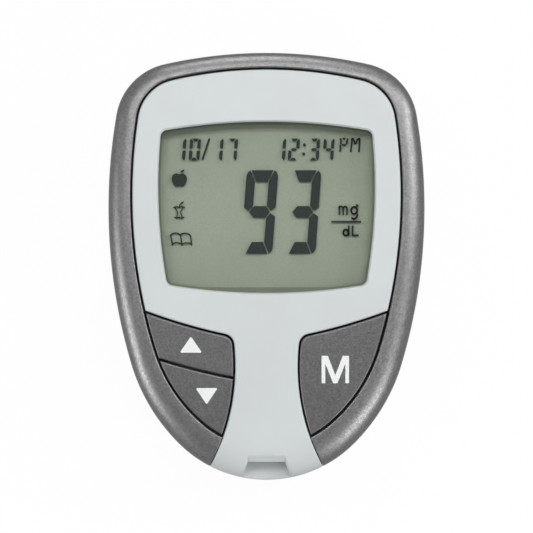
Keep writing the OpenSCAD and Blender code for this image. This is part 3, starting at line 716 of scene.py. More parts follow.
def key_ring(shape: MeterShape, kind: KeyKind, g: float, divider: float) -> Loop:
    """Plan ring of a key on the right of the meter.

    Args:
        shape: The shape of the meter.
        kind: Which key.
        g: Inset from the middle of the grooves round the key.
        divider: Inset from the middle of the groove between the two left-hand keys.

    Returns:
        The ring, from the stem along the top edge, down the side and back up the stem.
    """
    top = shape.key_divider_r + divider if kind is KeyKind.DOWN else shape.key_top_r + g
    a_top = shape.key_cross(g, top)
    to_tip = kind is not KeyKind.UP
    low = shape.key_divider_r - divider
    a_low = shape.key_cross(g, low)
    if to_tip:
        a_low = shape.stem_cross(shape.face, g, shape.stem_r - g, -20.0, -80.0)
    p_top, p_low = shape.face_point(a_top, g), shape.face_point(a_low, g)
    with_corner = kind is not KeyKind.DOWN
    corner = arc_run(shape.corner_c, shape.corner_r - g, shape.corner_from, shape.corner_to, 10)
    stem_top = circle_cross(shape.key_top_c, top, shape.stem_c, shape.stem_r - g, -1)
    stem_low = p_low if to_tip else circle_cross(shape.key_top_c, low, shape.stem_c, shape.stem_r - g, -1)
    start = corner[-1] if with_corner else stem_top
    stop = shape.corner_from if with_corner else heading(stem_top - shape.stem_c)
    runs = [
        arc_run(shape.key_top_c, top, heading(start - shape.key_top_c), heading(p_top - shape.key_top_c), 28),
        np.array([shape.face_point(mix(a_top, a_low, i / 34), g) for i in range(35)]),
    ]
    if not to_tip:
        runs.append(arc_run(
            shape.key_top_c, low, heading(p_low - shape.key_top_c), heading(stem_low - shape.key_top_c), 24
        ))
    runs.append(arc_run(
        shape.stem_c, shape.stem_r - g, heading(stem_low - shape.stem_c) % 360, stop % 360, 24
    ))
    if with_corner:
        runs.append(corner)
    return np.concatenate([run[:-1] for run in runs])


@dataclass
class WindowShape:
    """Opening for the display: four shallow arcs and rounded corners."""

    half_width: float = 19.73
    top: float = 26.3
    bottom: float = -4.98
    corner_r: float = 1.6
    top_r: float = 111.0
    bottom_r: float = 108.0
    side_r: float = 100.0
    middle_drop: float = 11.8

    def ring(self, grow: float) -> Loop:
        """Plan ring of the opening, grown outwards.

        Args:
            grow: How far outside the opening it lies.

        Returns:
            The ring, from the middle of the top clockwise.
        """
        top_c = np.array([0.0, self.top - self.top_r])
        low_c = np.array([0.0, self.bottom + self.bottom_r])
        side_c = np.array([self.half_width - self.side_r, self.top - self.middle_drop])
        upper = circle_cross(top_c, self.top_r - self.corner_r, side_c, self.side_r - self.corner_r, -1)
        lower = circle_cross(low_c, self.bottom_r - self.corner_r, side_c, self.side_r - self.corner_r, 1)
        side_from, side_to = heading(upper - side_c), heading(lower - side_c)
        end, start = heading(upper - top_c), heading(lower - low_c)
        r = self.corner_r + grow
        half = np.concatenate([
            arc_run(top_c, self.top_r + grow, 90, end, 24)[:-1],
            arc_run(upper, r, end, side_from, 12)[:-1],
            arc_run(side_c, self.side_r + grow, side_from, side_to, 30)[:-1],
            arc_run(lower, r, side_to, start, 12)[:-1],
            arc_run(low_c, self.bottom_r + grow, start, -90, 24),
        ])
        half[0, 0] = half[-1, 0] = 0.0
        return whole(half)


def round_over(radius: float, steps: int, lead: float = 0.06) -> list[tuple[float, float]]:
    """Inset and depth along a rounded edge, from a supporting line on the flat to the wall.

    Args:
        radius: Radius of the rounding.
        steps: Number of steps round it.
        lead: How far in front of it the supporting line lies.

    Returns:
        Pairs of inset and depth.
    """
    turns = [math.radians(90 * i / steps) for i in range(steps + 1)]
    rounded = [(radius * (1 - math.sin(t)), radius * (1 - math.cos(t))) for t in turns]
    return [(radius + lead, 0.0), *rounded]


# ---- Materials --------------------------------------------------------------------------------


def linear(hex_colour: str) -> tuple[float, float, float, float]:
    """Turns an sRGB hex colour into linear red, green, blue and alpha.

    Args:
        hex_colour: The colour, such as #c0c4c8.

    Returns:
        The four channels.
    """
    parts = [int(hex_colour.lstrip("#")[i : i + 2], 16) / 255 for i in (0, 2, 4)]
    r, g, b = (c / 12.92 if c <= 0.04045 else ((c + 0.055) / 1.055) ** 2.4 for c in parts)
    return (r, g, b, 1.0)


def per_mm(size: float) -> float:
    """Scale of a pattern whose forms are about a size in millimetres across."""
    return 1 / (size * MM)


def add_node(
    tree: bpy.types.NodeTree,
    kind: str,
    inputs: dict | None = None,
    out: int | str = 0,
    **settings: object,
) -> bpy.types.NodeSocket | None:
    """Adds a node with its settings and links.

    Args:
        tree: The node tree.
        kind: Blender's name of the node type.
        inputs: Values, output sockets or lists of them, by the input's name or number.
        out: Name or number of the output that is wanted.
        **settings: Properties of the node.

    Returns:
        The wanted output, or nothing where the node has no outputs.
    """
    made = tree.nodes.new(kind)
    for name, value in settings.items():
        setattr(made, name, value)
    for key, value in (inputs or {}).items():
        for part in value if isinstance(value, list) else [value]:
            if isinstance(part, bpy.types.NodeSocket):
                tree.links.new(part, made.inputs[key])
            else:
                made.inputs[key].default_value = part
    return made.outputs[out] if made.outputs else None


class Finish:
    """A material in the making: its tree, its shader and the meter's own coordinates."""

    def __init__(self, name: str, colour: str, roughness: float, **sockets: float) -> None:
        """Starts a material from one shader.

        Args:
            name: Common name of the material and how its surface was made.
            colour: Base colour as sRGB hex.
            roughness: Roughness of the surface.
            **sockets: More of the shader's sockets, with _ for a space in their names.
        """
        self.material = bpy.data.materials.new(name)
        self.material.use_nodes = True
        self.tree = self.material.node_tree
        self.shader = self.tree.nodes["Principled BSDF"]
        self.set("Base Color", linear(colour))
        self.set("Roughness", roughness)
        for socket, value in sockets.items():
            self.set(socket.replace("_", " "), value)
        self.place = self.add("ShaderNodeTexCoord", out="Object")

    def add(
        self, kind: str, inputs: dict | None = None, out: int | str = 0, **settings: object
    ) -> bpy.types.NodeSocket:
        """Adds a node to the material's tree."""
        return add_node(self.tree, kind, inputs, out, **settings)

    def set(self, socket: str, value: object) -> None:
        """Sets one of the shader's sockets, or links it.

        Args:
            socket: Name of the shader's input.
            value: A value, or the output that drives it.
        """
        if isinstance(value, bpy.types.NodeSocket):
            self.tree.links.new(value, self.shader.inputs[socket])
        else:
            self.shader.inputs[socket].default_value = value

    def tones(
        self, pattern: bpy.types.NodeSocket, low: str, high: str, start: float = 0.3, end: float = 0.7
    ) -> bpy.types.NodeSocket:
        """Colours the surface between two tones that follow a pattern.

        Args:
            pattern: The pattern.
            low: Tone as sRGB hex where the pattern is at its start.
            high: Tone where it is at its end.
            start: Value of the pattern that has the low tone.
            end: Value of the pattern that has the high tone.

        Returns:
            The colour.
        """
        share = self.add("ShaderNodeMapRange", {0: pattern, 1: start, 2: end})
        colour = self.add("ShaderNodeMix", {0: share, 6: linear(low), 7: linear(high)}, 2, data_type="RGBA")
        self.set("Base Color", colour)
        return colour

    def relief(
        self,
        pattern: bpy.types.NodeSocket,
        depth: float,
        rough: tuple[float, float] | None = None,
        strength: float = 1.0,
    ) -> None:
        """Raises the surface by a pattern, and lets its roughness follow.

        Args:
            pattern: The pattern.
            depth: Height of the relief in millimetres.
            rough: Roughness in the low places and on the high ones, or none to leave it even.
            strength: Share of the relief that shows.
        """
        if rough is not None:
            follow = {0: pattern, 1: 0.3, 2: 0.7, 3: rough[0], 4: rough[1]}
            self.set("Roughness", self.add("ShaderNodeMapRange", follow))
        height = {"Height": pattern, "Distance": depth * MM, "Strength": strength}
        self.set("Normal", self.add("ShaderNodeBump", height))


@dataclass(frozen=True)
class MouldedPlastic:
    """Injection-moulded plastic: a faint spark-eroded grain and slow drifts of shade."""

    name: str
    shade: str
    tone: str
    roughness: float = 0.42
    grain: float = 0.35
    depth: float = 0.004
    cloud: float = 9.0
    ior: float = 1.5

    def build(self) -> bpy.types.Material:
        """Makes the material.

        Returns:
            The material.
        """
        made = Finish(self.name, self.shade, self.roughness, IOR=self.ior)
        cloud = {"Vector": made.place, "Scale": per_mm(self.cloud), "Detail": 2.0}
        grain = {"Vector": made.place, "Scale": per_mm(self.grain), "Detail": 3.0}
        made.tones(made.add("ShaderNodeTexNoise", cloud), self.shade, self.tone)
        rough = (self.roughness - 0.05, self.roughness + 0.05)
        made.relief(made.add("ShaderNodeTexNoise", grain), self.depth, rough)
        return made.material


@dataclass(frozen=True)
class FlakePaint:
    """Sprayed metallic paint on plastic: aluminium flakes under a satin lacquer, which glint singly.

    The flakes are drawn about 0.3 mm across, coarser than real ones, so that they show.
    """

    name: str
    shade: str
    dark: str
    light: str
    roughness: float = 0.4
    flake: float = 0.3
    cloud: float = 5.0

    def build(self) -> bpy.types.Material:
        """Makes the material: each flake has its own tone, gloss and tilt.

        Returns:
            The material.
        """
        made = Finish(self.name, self.shade, self.roughness, Metallic=1.0)
        flakes = {"Vector": made.place, "Scale": per_mm(self.flake)}
        flake = made.add("ShaderNodeTexVoronoi", flakes, "Color")
        tone, gloss, tilt = made.add("ShaderNodeSeparateColor", {0: flake}).node.outputs
        cloud = {"Vector": made.place, "Scale": per_mm(self.cloud), "Detail": 2.0}
        drift = {0: made.add("ShaderNodeTexNoise", cloud), 1: 0.3, 2: 0.7, 3: -0.08, 4: 0.08}
        level = {0: tone, 1: made.add("ShaderNodeMapRange", drift)}
        made.tones(made.add("ShaderNodeMath", level, operation="ADD"), self.dark, self.light, 0.0, 1.0)
        rough = {0: gloss, 3: self.roughness - 0.06, 4: self.roughness + 0.08}
        made.set("Roughness", made.add("ShaderNodeMapRange", rough))
        made.relief(tilt, 0.006, strength=0.5)
        return made.material


@dataclass(frozen=True)
class Ink:
    """Printed or etched film: an even matt colour with a slightly dry surface."""

    name: str
    shade: str
    tone: str
    roughness: float = 0.55
    specular: float = 0.5
    speck: float = 0.4

    def build(self) -> bpy.types.Material:
        """Makes the material.

        Returns:
            The material.
        """
        made = Finish(self.name, self.shade, self.roughness, Specular_IOR_Level=self.specular)
        specks = {"Vector": made.place, "Scale": per_mm(self.speck), "Detail": 2.0}
        made.tones(made.add("ShaderNodeTexNoise", specks), self.shade, self.tone)
        return made.material


@dataclass(frozen=True)
class ClearSheet:
    """Clear polished sheet: what is behind shows through, and only the gloss of its outer faces is drawn."""

    name: str
    fresnel_ior: float
    roughness: float = 0.05
    tint: str = "#ffffff"
    wave: float = 12.0

    def build(self) -> bpy.types.Material:
        """Makes the material: a mirror that covers as much as the gloss of the sheet reflects.

        Returns:
            The material.
        """
        made = Finish(self.name, self.tint, self.roughness, Metallic=1.0)
        waves = {"Vector": made.place, "Scale": per_mm(self.wave), "Detail": 2.0}
        wave = made.add("ShaderNodeTexNoise", waves)
        rough = {0: wave, 1: 0.3, 2: 0.7, 3: self.roughness, 4: self.roughness + 0.03}
        made.set("Roughness", made.add("ShaderNodeMapRange", rough))
        gloss = made.add("ShaderNodeFresnel", {"IOR": self.fresnel_ior})
        inner = made.add("ShaderNodeNewGeometry", out="Backfacing")
        outer = made.add("ShaderNodeMath", {0: 1.0, 1: inner}, operation="SUBTRACT")
        made.set("Alpha", made.add("ShaderNodeMath", {0: gloss, 1: outer}, operation="MULTIPLY"))
        return made.material


@dataclass(frozen=True)
class Reflector:
    """Polariser on a dulled aluminium foil: grey green, fine grained, and brightest to light from above."""

    name: str = "reflector_foil_laminated"
    shade: str = "#99a391"
    tone: str = "#a1a99a"
    fade: str = "#949c8c"
    grain: float = 0.28
    cloud: float = 16.0

    def build(self) -> bpy.types.Material:
        """Makes the material.

        Returns:
            The material.
        """
        made = Finish(self.name, self.shade, 0.5, Metallic=1.0)
        grain = {"Vector": made.place, "Scale": per_mm(self.grain), "Detail": 4.0}
        cloud = {"Vector": made.place, "Scale": per_mm(self.cloud), "Detail": 1.0}
        fine = made.add("ShaderNodeTexNoise", grain)
        even = made.tones(fine, self.shade, self.tone)
        share = {0: made.add("ShaderNodeTexNoise", cloud), 1: 0.3, 2: 0.7, 3: 0.0, 4: 0.45}
        faded = {0: made.add("ShaderNodeMapRange", share), 6: even, 7: linear(self.fade)}
        made.set("Base Color", made.add("ShaderNodeMix", faded, 2, data_type="RGBA"))
        made.relief(fine, 0.003)
        return made.material


@dataclass(frozen=True)
class Metal:
    """Plated or stainless sheet and turned metal: fine drawn lines and slow clouding."""

    name: str
    shade: str
    tone: str
    roughness: float = 0.28
    line: float = 0.12
    stretch: tuple[float, float, float] = (1.0, 0.06, 1.0)
    depth: float = 0.004
    cloud: float = 2.5

    def build(self) -> bpy.types.Material:
        """Makes the material.

        Returns:
            The material.
        """
        made = Finish(self.name, self.shade, self.roughness, Metallic=1.0)
        drawn = made.add("ShaderNodeMapping", {"Vector": made.place, "Scale": self.stretch})
        lines = {"Vector": drawn, "Scale": per_mm(self.line), "Detail": 3.0}
        cloud = {"Vector": made.place, "Scale": per_mm(self.cloud), "Detail": 2.0}
        made.tones(made.add("ShaderNodeTexNoise", cloud), self.shade, self.tone)
        rough = (self.roughness - 0.08, self.roughness + 0.1)
        made.relief(made.add("ShaderNodeTexNoise", lines), self.depth, rough, 0.6)
        return made.material


@dataclass(frozen=True)
class BoardLaminate:
    """Glass-epoxy board under solder mask: copper tracks show as lighter lines, 0.4 mm wide."""

    name: str = "glass_epoxy_board_masked"
    shade: str = "#17633a"
    track: str = "#2f8a56"
    panel: float = 6.0
    weave: float = 0.8

    def build(self) -> bpy.types.Material:
        """Makes the material.

        Returns:
            The material.
        """
        made = Finish(self.name, self.shade, 0.3)
        tracks = {
            "Vector": made.place, "Scale": per_mm(self.panel), "Mortar Size": 0.035,
            "Mortar Smooth": 0.05, "Brick Width": 0.9, "Row Height": 0.3,
        }
        track = made.add("ShaderNodeTexBrick", tracks, 1)
        made.tones(track, self.shade, self.track, 0.0, 1.0)
        weave = {"Vector": made.place, "Scale": per_mm(self.weave), "Detail": 2.0}
        rough = {0: made.add("ShaderNodeTexNoise", weave), 1: 0.3, 2: 0.7, 3: 0.25, 4: 0.38}
        made.set("Roughness", made.add("ShaderNodeMapRange", rough))
        made.relief(track, 0.02, strength=0.5)
        return made.material


@dataclass(frozen=True)
class StripedRubber:
    """Moulded silicone strip with thin conductive layers, drawn 0.35 mm apart so that they show."""

    name: str = "silicone_strip_layered"
    shade: str = "#2c2e31"
    layer: str = "#8a8d90"
    pitch: float = 0.35
    wave_turn: float = 0.314  # scale at which a wave texture repeats once a unit

    def build(self) -> bpy.types.Material:
        """Makes the material.

        Returns:
            The material.
        """
        made = Finish(self.name, self.shade, 0.7)
        layers = {"Vector": made.place, "Scale": self.wave_turn / (self.pitch * MM), "Distortion": 0.0}
        layer = made.add("ShaderNodeTexWave", layers, 1)
        made.tones(layer, self.shade, self.layer, 0.45, 0.55)
        made.relief(layer, 0.01)
        return made.material


class Palette:
    """Every material of the meter, made once."""

    def __init__(self) -> None:
        """Makes the materials."""
        # moulded ABS, pale cool grey; its satin surface spreads the light evenly
        self.face = MouldedPlastic("abs_satin_moulded", "#ccd0d1", "#cfd4d5", 0.4, 0.3, 0.003).build()
        # the same ABS from a spark-eroded mould: a visible fine grain and no gloss
        self.back = MouldedPlastic("abs_grained_moulded", "#ccd0d2", "#d2d6d8", 0.58, 0.5, 0.02).build()
        # ABS under sprayed metallic lacquer: dark towards the eye, bright at the shoulder
        self.trim = FlakePaint("abs_metallic_lacquered", "#8f8f8f", "#868686", "#999999").build()
        # the keys take the trim's lacquer drawn darker: painted shade on their flat tops
        self.key = FlakePaint("abs_metallic_lacquered_key_painted_shade", "#7b7b7b", "#737373", "#848484", 0.42, 0.26).build()
        # white ink under the lacquer's last coat
        self.legend = Ink("ink_white_printed", "#f0f1f1", "#e6e8e8", 0.4).build()
        # acrylic with a hard coat: only a low gloss
        self.lens = ClearSheet("acrylic_hard_coated", 1.28).build()
        self.glass = ClearSheet("display_glass_polished", 1.1).build()
        self.reflector = Reflector().build()
        # the same foil under a printed border round the display, drawn darker towards the window's edge as painted
        # shade of the window's rim
        self.border = Reflector("reflector_foil_painted_shade", "#7c8473", "#828a79", "#767e6d").build()
        # a half-dark ring between the border and the display: painted shade fading out from the rim
        self.fade = Reflector("reflector_foil_painted_half_shade", "#949d8b", "#9ba492", "#8e9785").build()
        # liquid crystal between the glasses: nearly black green where it blocks the light
        self.segment = Ink("liquid_crystal_switched", "#2b3230", "#303836", 0.6, 0.1).build()
        self.gasket = MouldedPlastic("silicone_foam_cut", "#26282a", "#2e3032", 0.85, 0.25, 0.05).build()
        self.white = MouldedPlastic("polycarbonate_white_moulded", "#e4e4e0", "#eceae6", 0.45, 0.4, 0.006).build()
        self.deck = MouldedPlastic("acetal_grey_moulded", "#bfc3c6", "#c9ccce", 0.4, 0.6, 0.004).build()
        # the dark plastic under the lacquer of the keys and the trim; the front skirt is drawn in it too, painted
        # shade that darkens the grooves over it
        self.core = MouldedPlastic("abs_black_moulded_and_groove_shade", "#141516", "#1a1b1c", 0.6, 0.4, 0.005).build()
        self.black = MouldedPlastic("nylon_black_moulded", "#1c1d1f", "#26272a", 0.5, 0.3, 0.01).build()
        self.epoxy = MouldedPlastic("epoxy_black_moulded", "#202124", "#2a2b2d", 0.6, 0.18, 0.012).build()
        self.ceramic = MouldedPlastic("ceramic_fired", "#a98457", "#b78f62", 0.5, 0.15, 0.006).build()
        self.film = MouldedPlastic("resistor_glazed", "#1a1b1e", "#232429", 0.35, 0.12, 0.003).build()
        self.steel = Metal("stainless_steel_drawn", "#c3c5c8", "#b4b6ba").build()
        self.can = Metal("nickel_steel_pressed", "#c9c9c6", "#bcbcb9", 0.24, 0.2, (1.0, 0.06, 1.0), 0.0008).build()
        self.spring = Metal("nickel_plated_strip", "#cbc7ba", "#bfbaac", 0.3).build()
        self.gold = Metal("gold_plated_strip", "#d6b464", "#c9a451", 0.25).build()
        self.solder = Metal("tin_solder_reflowed", "#cfd1d2", "#bdbfc1", 0.35, 0.4, (1.0, 1.0, 1.0)).build()
        self.board = BoardLaminate().build()
        self.zebra = StripedRubber().build()


# ---- Face, trim and keys ----------------------------------------------------------------------


@dataclass
class FrontCase:
    """Front moulding: pale crowned face, waisted stem and chin with the strip notch, and its skirt drawn black as
    painted shade under the grooves.
    """

    shape: MeterShape
    window: WindowShape
    round_steps: int = 5
    grid: float = 1.8
    chin_columns: int = 16
    seam_round: float = 0.17
    window_lip: float = 0.24
    lip_z: float = 21.58
    window_slope: float = 0.27
    slope_depth: float = 0.72
    block_half: float = 6.6
    port_y: float = -35.2
    port_floor: float = 16.2
    port_inner: float = 3.38
    port_outer: float = 4.65
    lip_run: float = 1.25
    slot_half: float = 3.4
    slot_height: float = 1.3
    flare: float = 0.46
    notch_corner: float = 0.7
    floor_round: float = 0.55
    lip_depth: float = 1.1
    slot_end_y: float = -31.0
    tool_rise: float = 4.0
    arch: float = 46.0  # twice the radius of the outline's end at the notch
    stem_steps: int = 30
    wall_z: tuple[float, ...] = (16.4, 14.0, 11.5)
    foot_bevel: float = 0.12
    bevel_centre: tuple[float, float] = (0.0, -8.0)
    rim_round: float = 0.14
    boss_radii: tuple[float, float] = (1.0, 2.3)
    boss_z: tuple[float, float] = (BOARD_Z, 20.25)
    chin_rolls: tuple[float, ...] = (90, 84, 78, 71, 64, 57, 50, 43, 36, 29, 22, 15, 8, 3, 0)
    skirt_section: tuple[tuple[float, float], ...] = (
        (1.85, 11.0), (1.85, 18.05), (3.45, 20.2), (3.45, 20.28), (6.45, 20.28), (6.45, 19.1),
        (4.9, 19.1), (3.25, 17.5), (3.25, 11.0),
    )
    port_block: tuple[tuple[float, float], ...] = (
        (-35.9, 12.8), (-35.9, 19.6), (-35.3, 20.4), (-33.4, 20.4), (-33.4, 12.8),
    )
    notch_room: tuple[tuple[float, float, float], ...] = ((-5.6, -40.0, 10.5), (5.6, -33.45, 21.5))

    def crown_run(self, s: float) -> Loop:
        """Right half of the plate's edge at an inset, from the top middle to the foot of the stem.

        Args:
            s: The inset.

        Returns:
            The points of the run.
        """
        m, g = self.shape, self.shape.half_groove
        arc = m.key_top_r - g - s
        a_top = m.key_cross(g + s, arc)
        base_top = m.key_cross(g, m.key_top_r - g)
        base = [a for a in m.angles() if a > base_top + 0.4] + [base_top]
        upper = [m.face_point(90 + (a - 90) * (90 - a_top) / (90 - base_top), g + s) for a in base]
        corner = arc_run(m.corner_c, m.corner_r + g + s, m.corner_to, m.corner_from, 10)
        start, end = (heading(p - m.key_top_c) for p in (upper[-1], corner[0]))
        edge = arc_run(m.key_top_c, arc, start, end, 26)
        foot = m.shoulder(m.shoulder_cross(90, m.stem_r + g + s), 90)[:2]
        end = heading(foot - m.stem_c) % 360
        stem = arc_run(m.stem_c, m.stem_r + g + s, m.corner_from % 360, end, self.stem_steps)
        run = np.concatenate([upper, edge[1:], corner[1:], stem[1:]])
        run[0, 0] = 0.0
        return run

    def chin_row(self, roll: float) -> Loop:
        """One level of the chin from its right seam to the middle.

        Args:
            roll: Level of the shoulder, 0 at the side wall.

        Returns:
            The points at the rounded seam edge and then along the level.
        """
        m = self.shape
        radius = mix(self.seam_round, m.edge_round, ease((roll - 55) / 35))
        points = []
        for s, d in reversed(round_over(radius, self.round_steps)):
            a = m.shoulder_cross(roll, m.stem_r + m.half_groove + s)
            normal = m.shoulder_normal(a, roll)
            if roll == 90:
                normal = m.crown_normal(m.shoulder(a, roll)[:2])
            points.append(m.shoulder(a, roll) - d * normal)
        last = m.shoulder_cross(roll, m.stem_r + m.half_groove + radius + 0.06)
        shares = [i / self.chin_columns for i in range(1, self.chin_columns + 1)]
        points += [m.shoulder(mix(last, -90.0, share), roll) for share in shares]
        row = np.array(points)
        row[-1, 0] = 0.0
        return row

    def plate(self) -> Draft:
        """The visible plate with its rounded edges, the chin and the underside.

        Returns:
            The draft of the plate, without the notch.
        """
        m, draft = self.shape, Draft()
        profile = round_over(m.edge_round, self.round_steps)
        runs = []
        for s, d in profile:
            plane = self.crown_run(s)
            normals = np.array([m.crown_normal(p) for p in plane])
            runs.append(np.column_stack([plane, m.crown(plane)]) - d * normals)
        rows = [self.chin_row(roll) for roll in self.chin_rolls]
        wall = [lifted(rows[-1], z) for z in (*self.wall_z, m.parting + self.foot_bevel)]
        foot = lifted(rows[-1], m.parting)
        centre = np.array(self.bevel_centre)
        foot[:, :2] += self.foot_bevel * np.array([unit(centre - p[:2]) for p in foot])
        rows += [*wall, foot]
        for half in (np.array, mirrored):
            draft.grid([half(run) for run in runs])
            draft.grid([half(row) for row in rows])
        # the crown's border: the run's line on the face, then the chin's first level
        loop = np.concatenate([runs[0], rows[0][self.round_steps + 2 :]])
        profile = self.window_profile()
        grown = [(profile[0][0] + 0.1, 0.0), (profile[0][0] + 0.05, 0.0), *profile]
        rim = [self.window.ring(s) for s, _ in grown]
        draft.sheet([whole(loop), rim[0]], m.crown, self.grid)
        rings = [np.column_stack([ring, m.crown(ring) - d]) for ring, (_, d) in zip(rim, grown)]
        opening = self.window.ring(0.0)
        lip = self.window.ring(-self.window_lip)
        rings += [lifted(lip, self.lip_z), lifted(opening, self.lip_z)]
        rings.append(lifted(opening, m.plate_z))
        draft.grid(rings, closed=True)
        self.under(draft, runs[-1], rows)
        return draft

    def window_profile(self) -> list[tuple[float, float]]:
        """Offset and depth of the opening's rounded rim and sloped wall.

        Returns:
            Pairs of offset and depth.
        """
        slope = math.atan2(self.slope_depth, self.window_slope)
        radius = self.rim_round
        start = self.window_slope - self.window_lip + radius * math.tan(slope / 2)
        turned = [slope * i / 5 for i in range(6)]
        rounded = [(start - radius * math.sin(t), radius - radius * math.cos(t)) for t in turned]
        return [*rounded, (-self.window_lip, self.slope_depth)]

    def under(self, draft: Draft, edge: Loop, rows: list[Loop]) -> None:
        """Adds the walls in the grooves, the underside of the plate and the inside of the chin.

        Args:
            draft: The draft of the plate.
            edge: Lowest points of the plate's rounded edge, on the right half.
            rows: Levels of the chin, from the face down.
        """
        m = self.shape
        radius = m.stem_r + m.half_groove
        plane = self.crown_run(0.0)
        stem_start = len(plane) - self.stem_steps - 1
        for half in (np.array, mirrored):
            draft.grid([half(edge[: stem_start + 1]), half(lifted(plane[: stem_start + 1], m.plate_z))])
        a_in = m.stem_cross(m.case, m.skirt_back, radius, -50.0, -88.0)
        inner = m.case_point(a_in, m.skirt_back)
        end = heading(inner - m.stem_c) % 360
        low_stem = arc_run(m.stem_c, radius, m.corner_from % 360, end, 26)
        chain = [*edge[stem_start:], *[row[0] for row in rows[1:]]]
        back = [np.array([*inner, m.parting]), *[np.array([*p, m.plate_z]) for p in low_stem[::-1]]]
        corners = np.array([*chain, *back])
        unrolled = np.array([
            [math.radians(heading(p[:2] - m.stem_c) % 360) * radius, p[2]] for p in corners
        ])
        flat_points, faces = fill([unrolled])
        side = corners[[int(np.abs(unrolled - q).sum(axis=1).argmin()) for q in flat_points]]
        inner_run = np.array([m.case_point(mix(a_in, -90.0, i / 20), m.skirt_back) for i in range(21)])
        inner_run[-1, 0] = 0.0
        for half in (np.array, mirrored):
            draft.triangles(half(side), faces)
            draft.grid([half(lifted(inner_run, m.plate_z)), half(lifted(inner_run, m.parting))])
            foot = half(np.concatenate([rows[-1][:, :2], inner_run[::-1]]))
            draft.sheet([foot], flat(m.parting))
        outline = np.concatenate([plane[: stem_start + 1], low_stem[1:], inner_run[1:]])
        draft.sheet([whole(outline), self.window.ring(0.0)], flat(m.plate_z))

    def notch_tools(self, plate: bpy.types.Object) -> list[bpy.types.Object]:
        """Closed tools that cut the strip notch, flared where they meet the surface.

        Args:
            plate: The plate, whose surface the flare follows.

        Returns:
            The tools: the tray, its sloped lip and the mouth of the slot.
        """
        tree = BVHTree.FromObject(plate, bpy.context.evaluated_depsgraph_get())

        end_y = -self.shape.length / 2

        def surface(x: float, y: float) -> float:
            """Height of the plate over a point, or of its edge where the ray passes it.

            Args:
                x: The point along X.
                y: The point along Y, held inside the plate's edge.

            Returns:
                The height.
            """
            above = Vector((x * MM, max(y, end_y + 0.05) * MM, 0.05))
            hit = tree.ray_cast(above, Vector((0, 0, -1)))[0]
            return hit.z / MM if hit is not None else 17.0

        start, curve = end_y - 0.6, self.floor_round
        stops = [(start, self.port_floor - curve)]
        for turn in (90, 70, 50, 30, 15, 0):
            t = math.radians(turn)
            stops.append((end_y + curve * (1 - math.sin(t)), self.port_floor - curve * (1 - math.cos(t))))
        stops += [(mix(end_y + curve, self.port_y, i / 9), self.port_floor) for i in range(1, 10)]

        def section(y: float, floor: float) -> Loop:
            """Ring round the tray at one place along it, bent like the outline's end.

            Args:
                y: The place.
                floor: Height of the tray's floor there.

            Returns:
                The ring.
            """
            e, far = self.flare, (self.port_y - y) / (self.port_y - start)
            x = mix(self.port_inner, self.port_outer, far)
            top = surface(x + e, y + x * x / self.arch * far)
            right = [
                (x, floor), (x, top - e), (x + e * 0.12, top - e * 0.6), (x + e * 0.4, top - e * 0.2),
                (x + e, top + 0.02), (x + e, top + self.tool_rise),
            ]
            bottom = [(-x * t, floor) for t in (0.66, 0.33, 0.0, -0.33, -0.66)]
            ring = [*right, *[(-px, z) for px, z in reversed(right)], *bottom]
            return np.array([[px, y + px * px / self.arch * far, z] for px, z in ring])

        tray, lip, mouth = Draft(), Draft(), Draft()
        tray.capped([section(y, floor) for y, floor in stops])
        lip_z = float(self.shape.crown(np.array([0, self.port_y]))[0]) - self.lip_depth
        stops = [(self.port_y - 0.4, lip_z), (self.port_y, lip_z)]
        reach = self.port_y + self.lip_run
        top = float(self.shape.crown(np.array([0, reach]))[0])
        stops += [(mix(self.port_y, reach, t), mix(lip_z, top, t)) for t in (0.3, 0.5, 0.7, 0.85, 0.95)]
        stops += [(reach + 0.1, top - 0.01), (reach + 0.3, top + 0.06)]
        spans = []
        for y, z in stops:
            high = max(surface(self.port_inner + self.flare, y), z + 0.01)
            e = min(self.flare, high - z)
            bend = min(1.0, max(0.0, (y - reach) / self.notch_corner + 1))
            half = self.port_inner - self.notch_corner * (1 - math.sqrt(1 - bend**2)) * 0.8
            right = [
                (half, z), (half, high - e), (half + e * 0.3, high - e * 0.3), (half + e, high + 0.02),
                (half + e, high + self.tool_rise),
            ]
            ring = [*right, *[(-px, pz) for px, pz in reversed(right)]]
            spans.append(np.array([[px, y, pz] for px, pz in ring]))
        lip.capped(spans)
        low = (-self.slot_half, self.port_y - 0.5, self.port_floor)
        box_tool(mouth, low, (self.slot_half, self.slot_end_y, self.port_floor + self.slot_height))
        return [d.make(n) for d, n in ((tray, "tray_tool"), (lip, "lip_tool"), (mouth, "mouth_tool"))]

    def skirt(self) -> Draft:
        """Wall inside the trim, its ledge under the plate and the screw bosses.

        Returns:
            The draft of the skirt.
        """
        m, draft = self.shape, Draft()
        wall = [whole(np.array([m.case_point(a, s) for a in m.angles(1.6)])) for s, _ in self.skirt_section]
        rings = [lifted(ring, z) for ring, (_, z) in zip(wall, self.skirt_section)]
        for ring in rings:
            ring[0, 0] = 0.0
        draft.grid(rings, closed=True, looped=True)
        low, high = self.boss_z
        for spot in SCREW_SPOTS:
            hole, wall = (arc_run(np.array(spot), r, 0, 360, 40)[:-1] for r in self.boss_radii)
            boss = [lifted(hole, low), lifted(hole, high), lifted(wall, high), lifted(wall, low)]
            draft.grid(boss, closed=True, looped=True)
        return draft

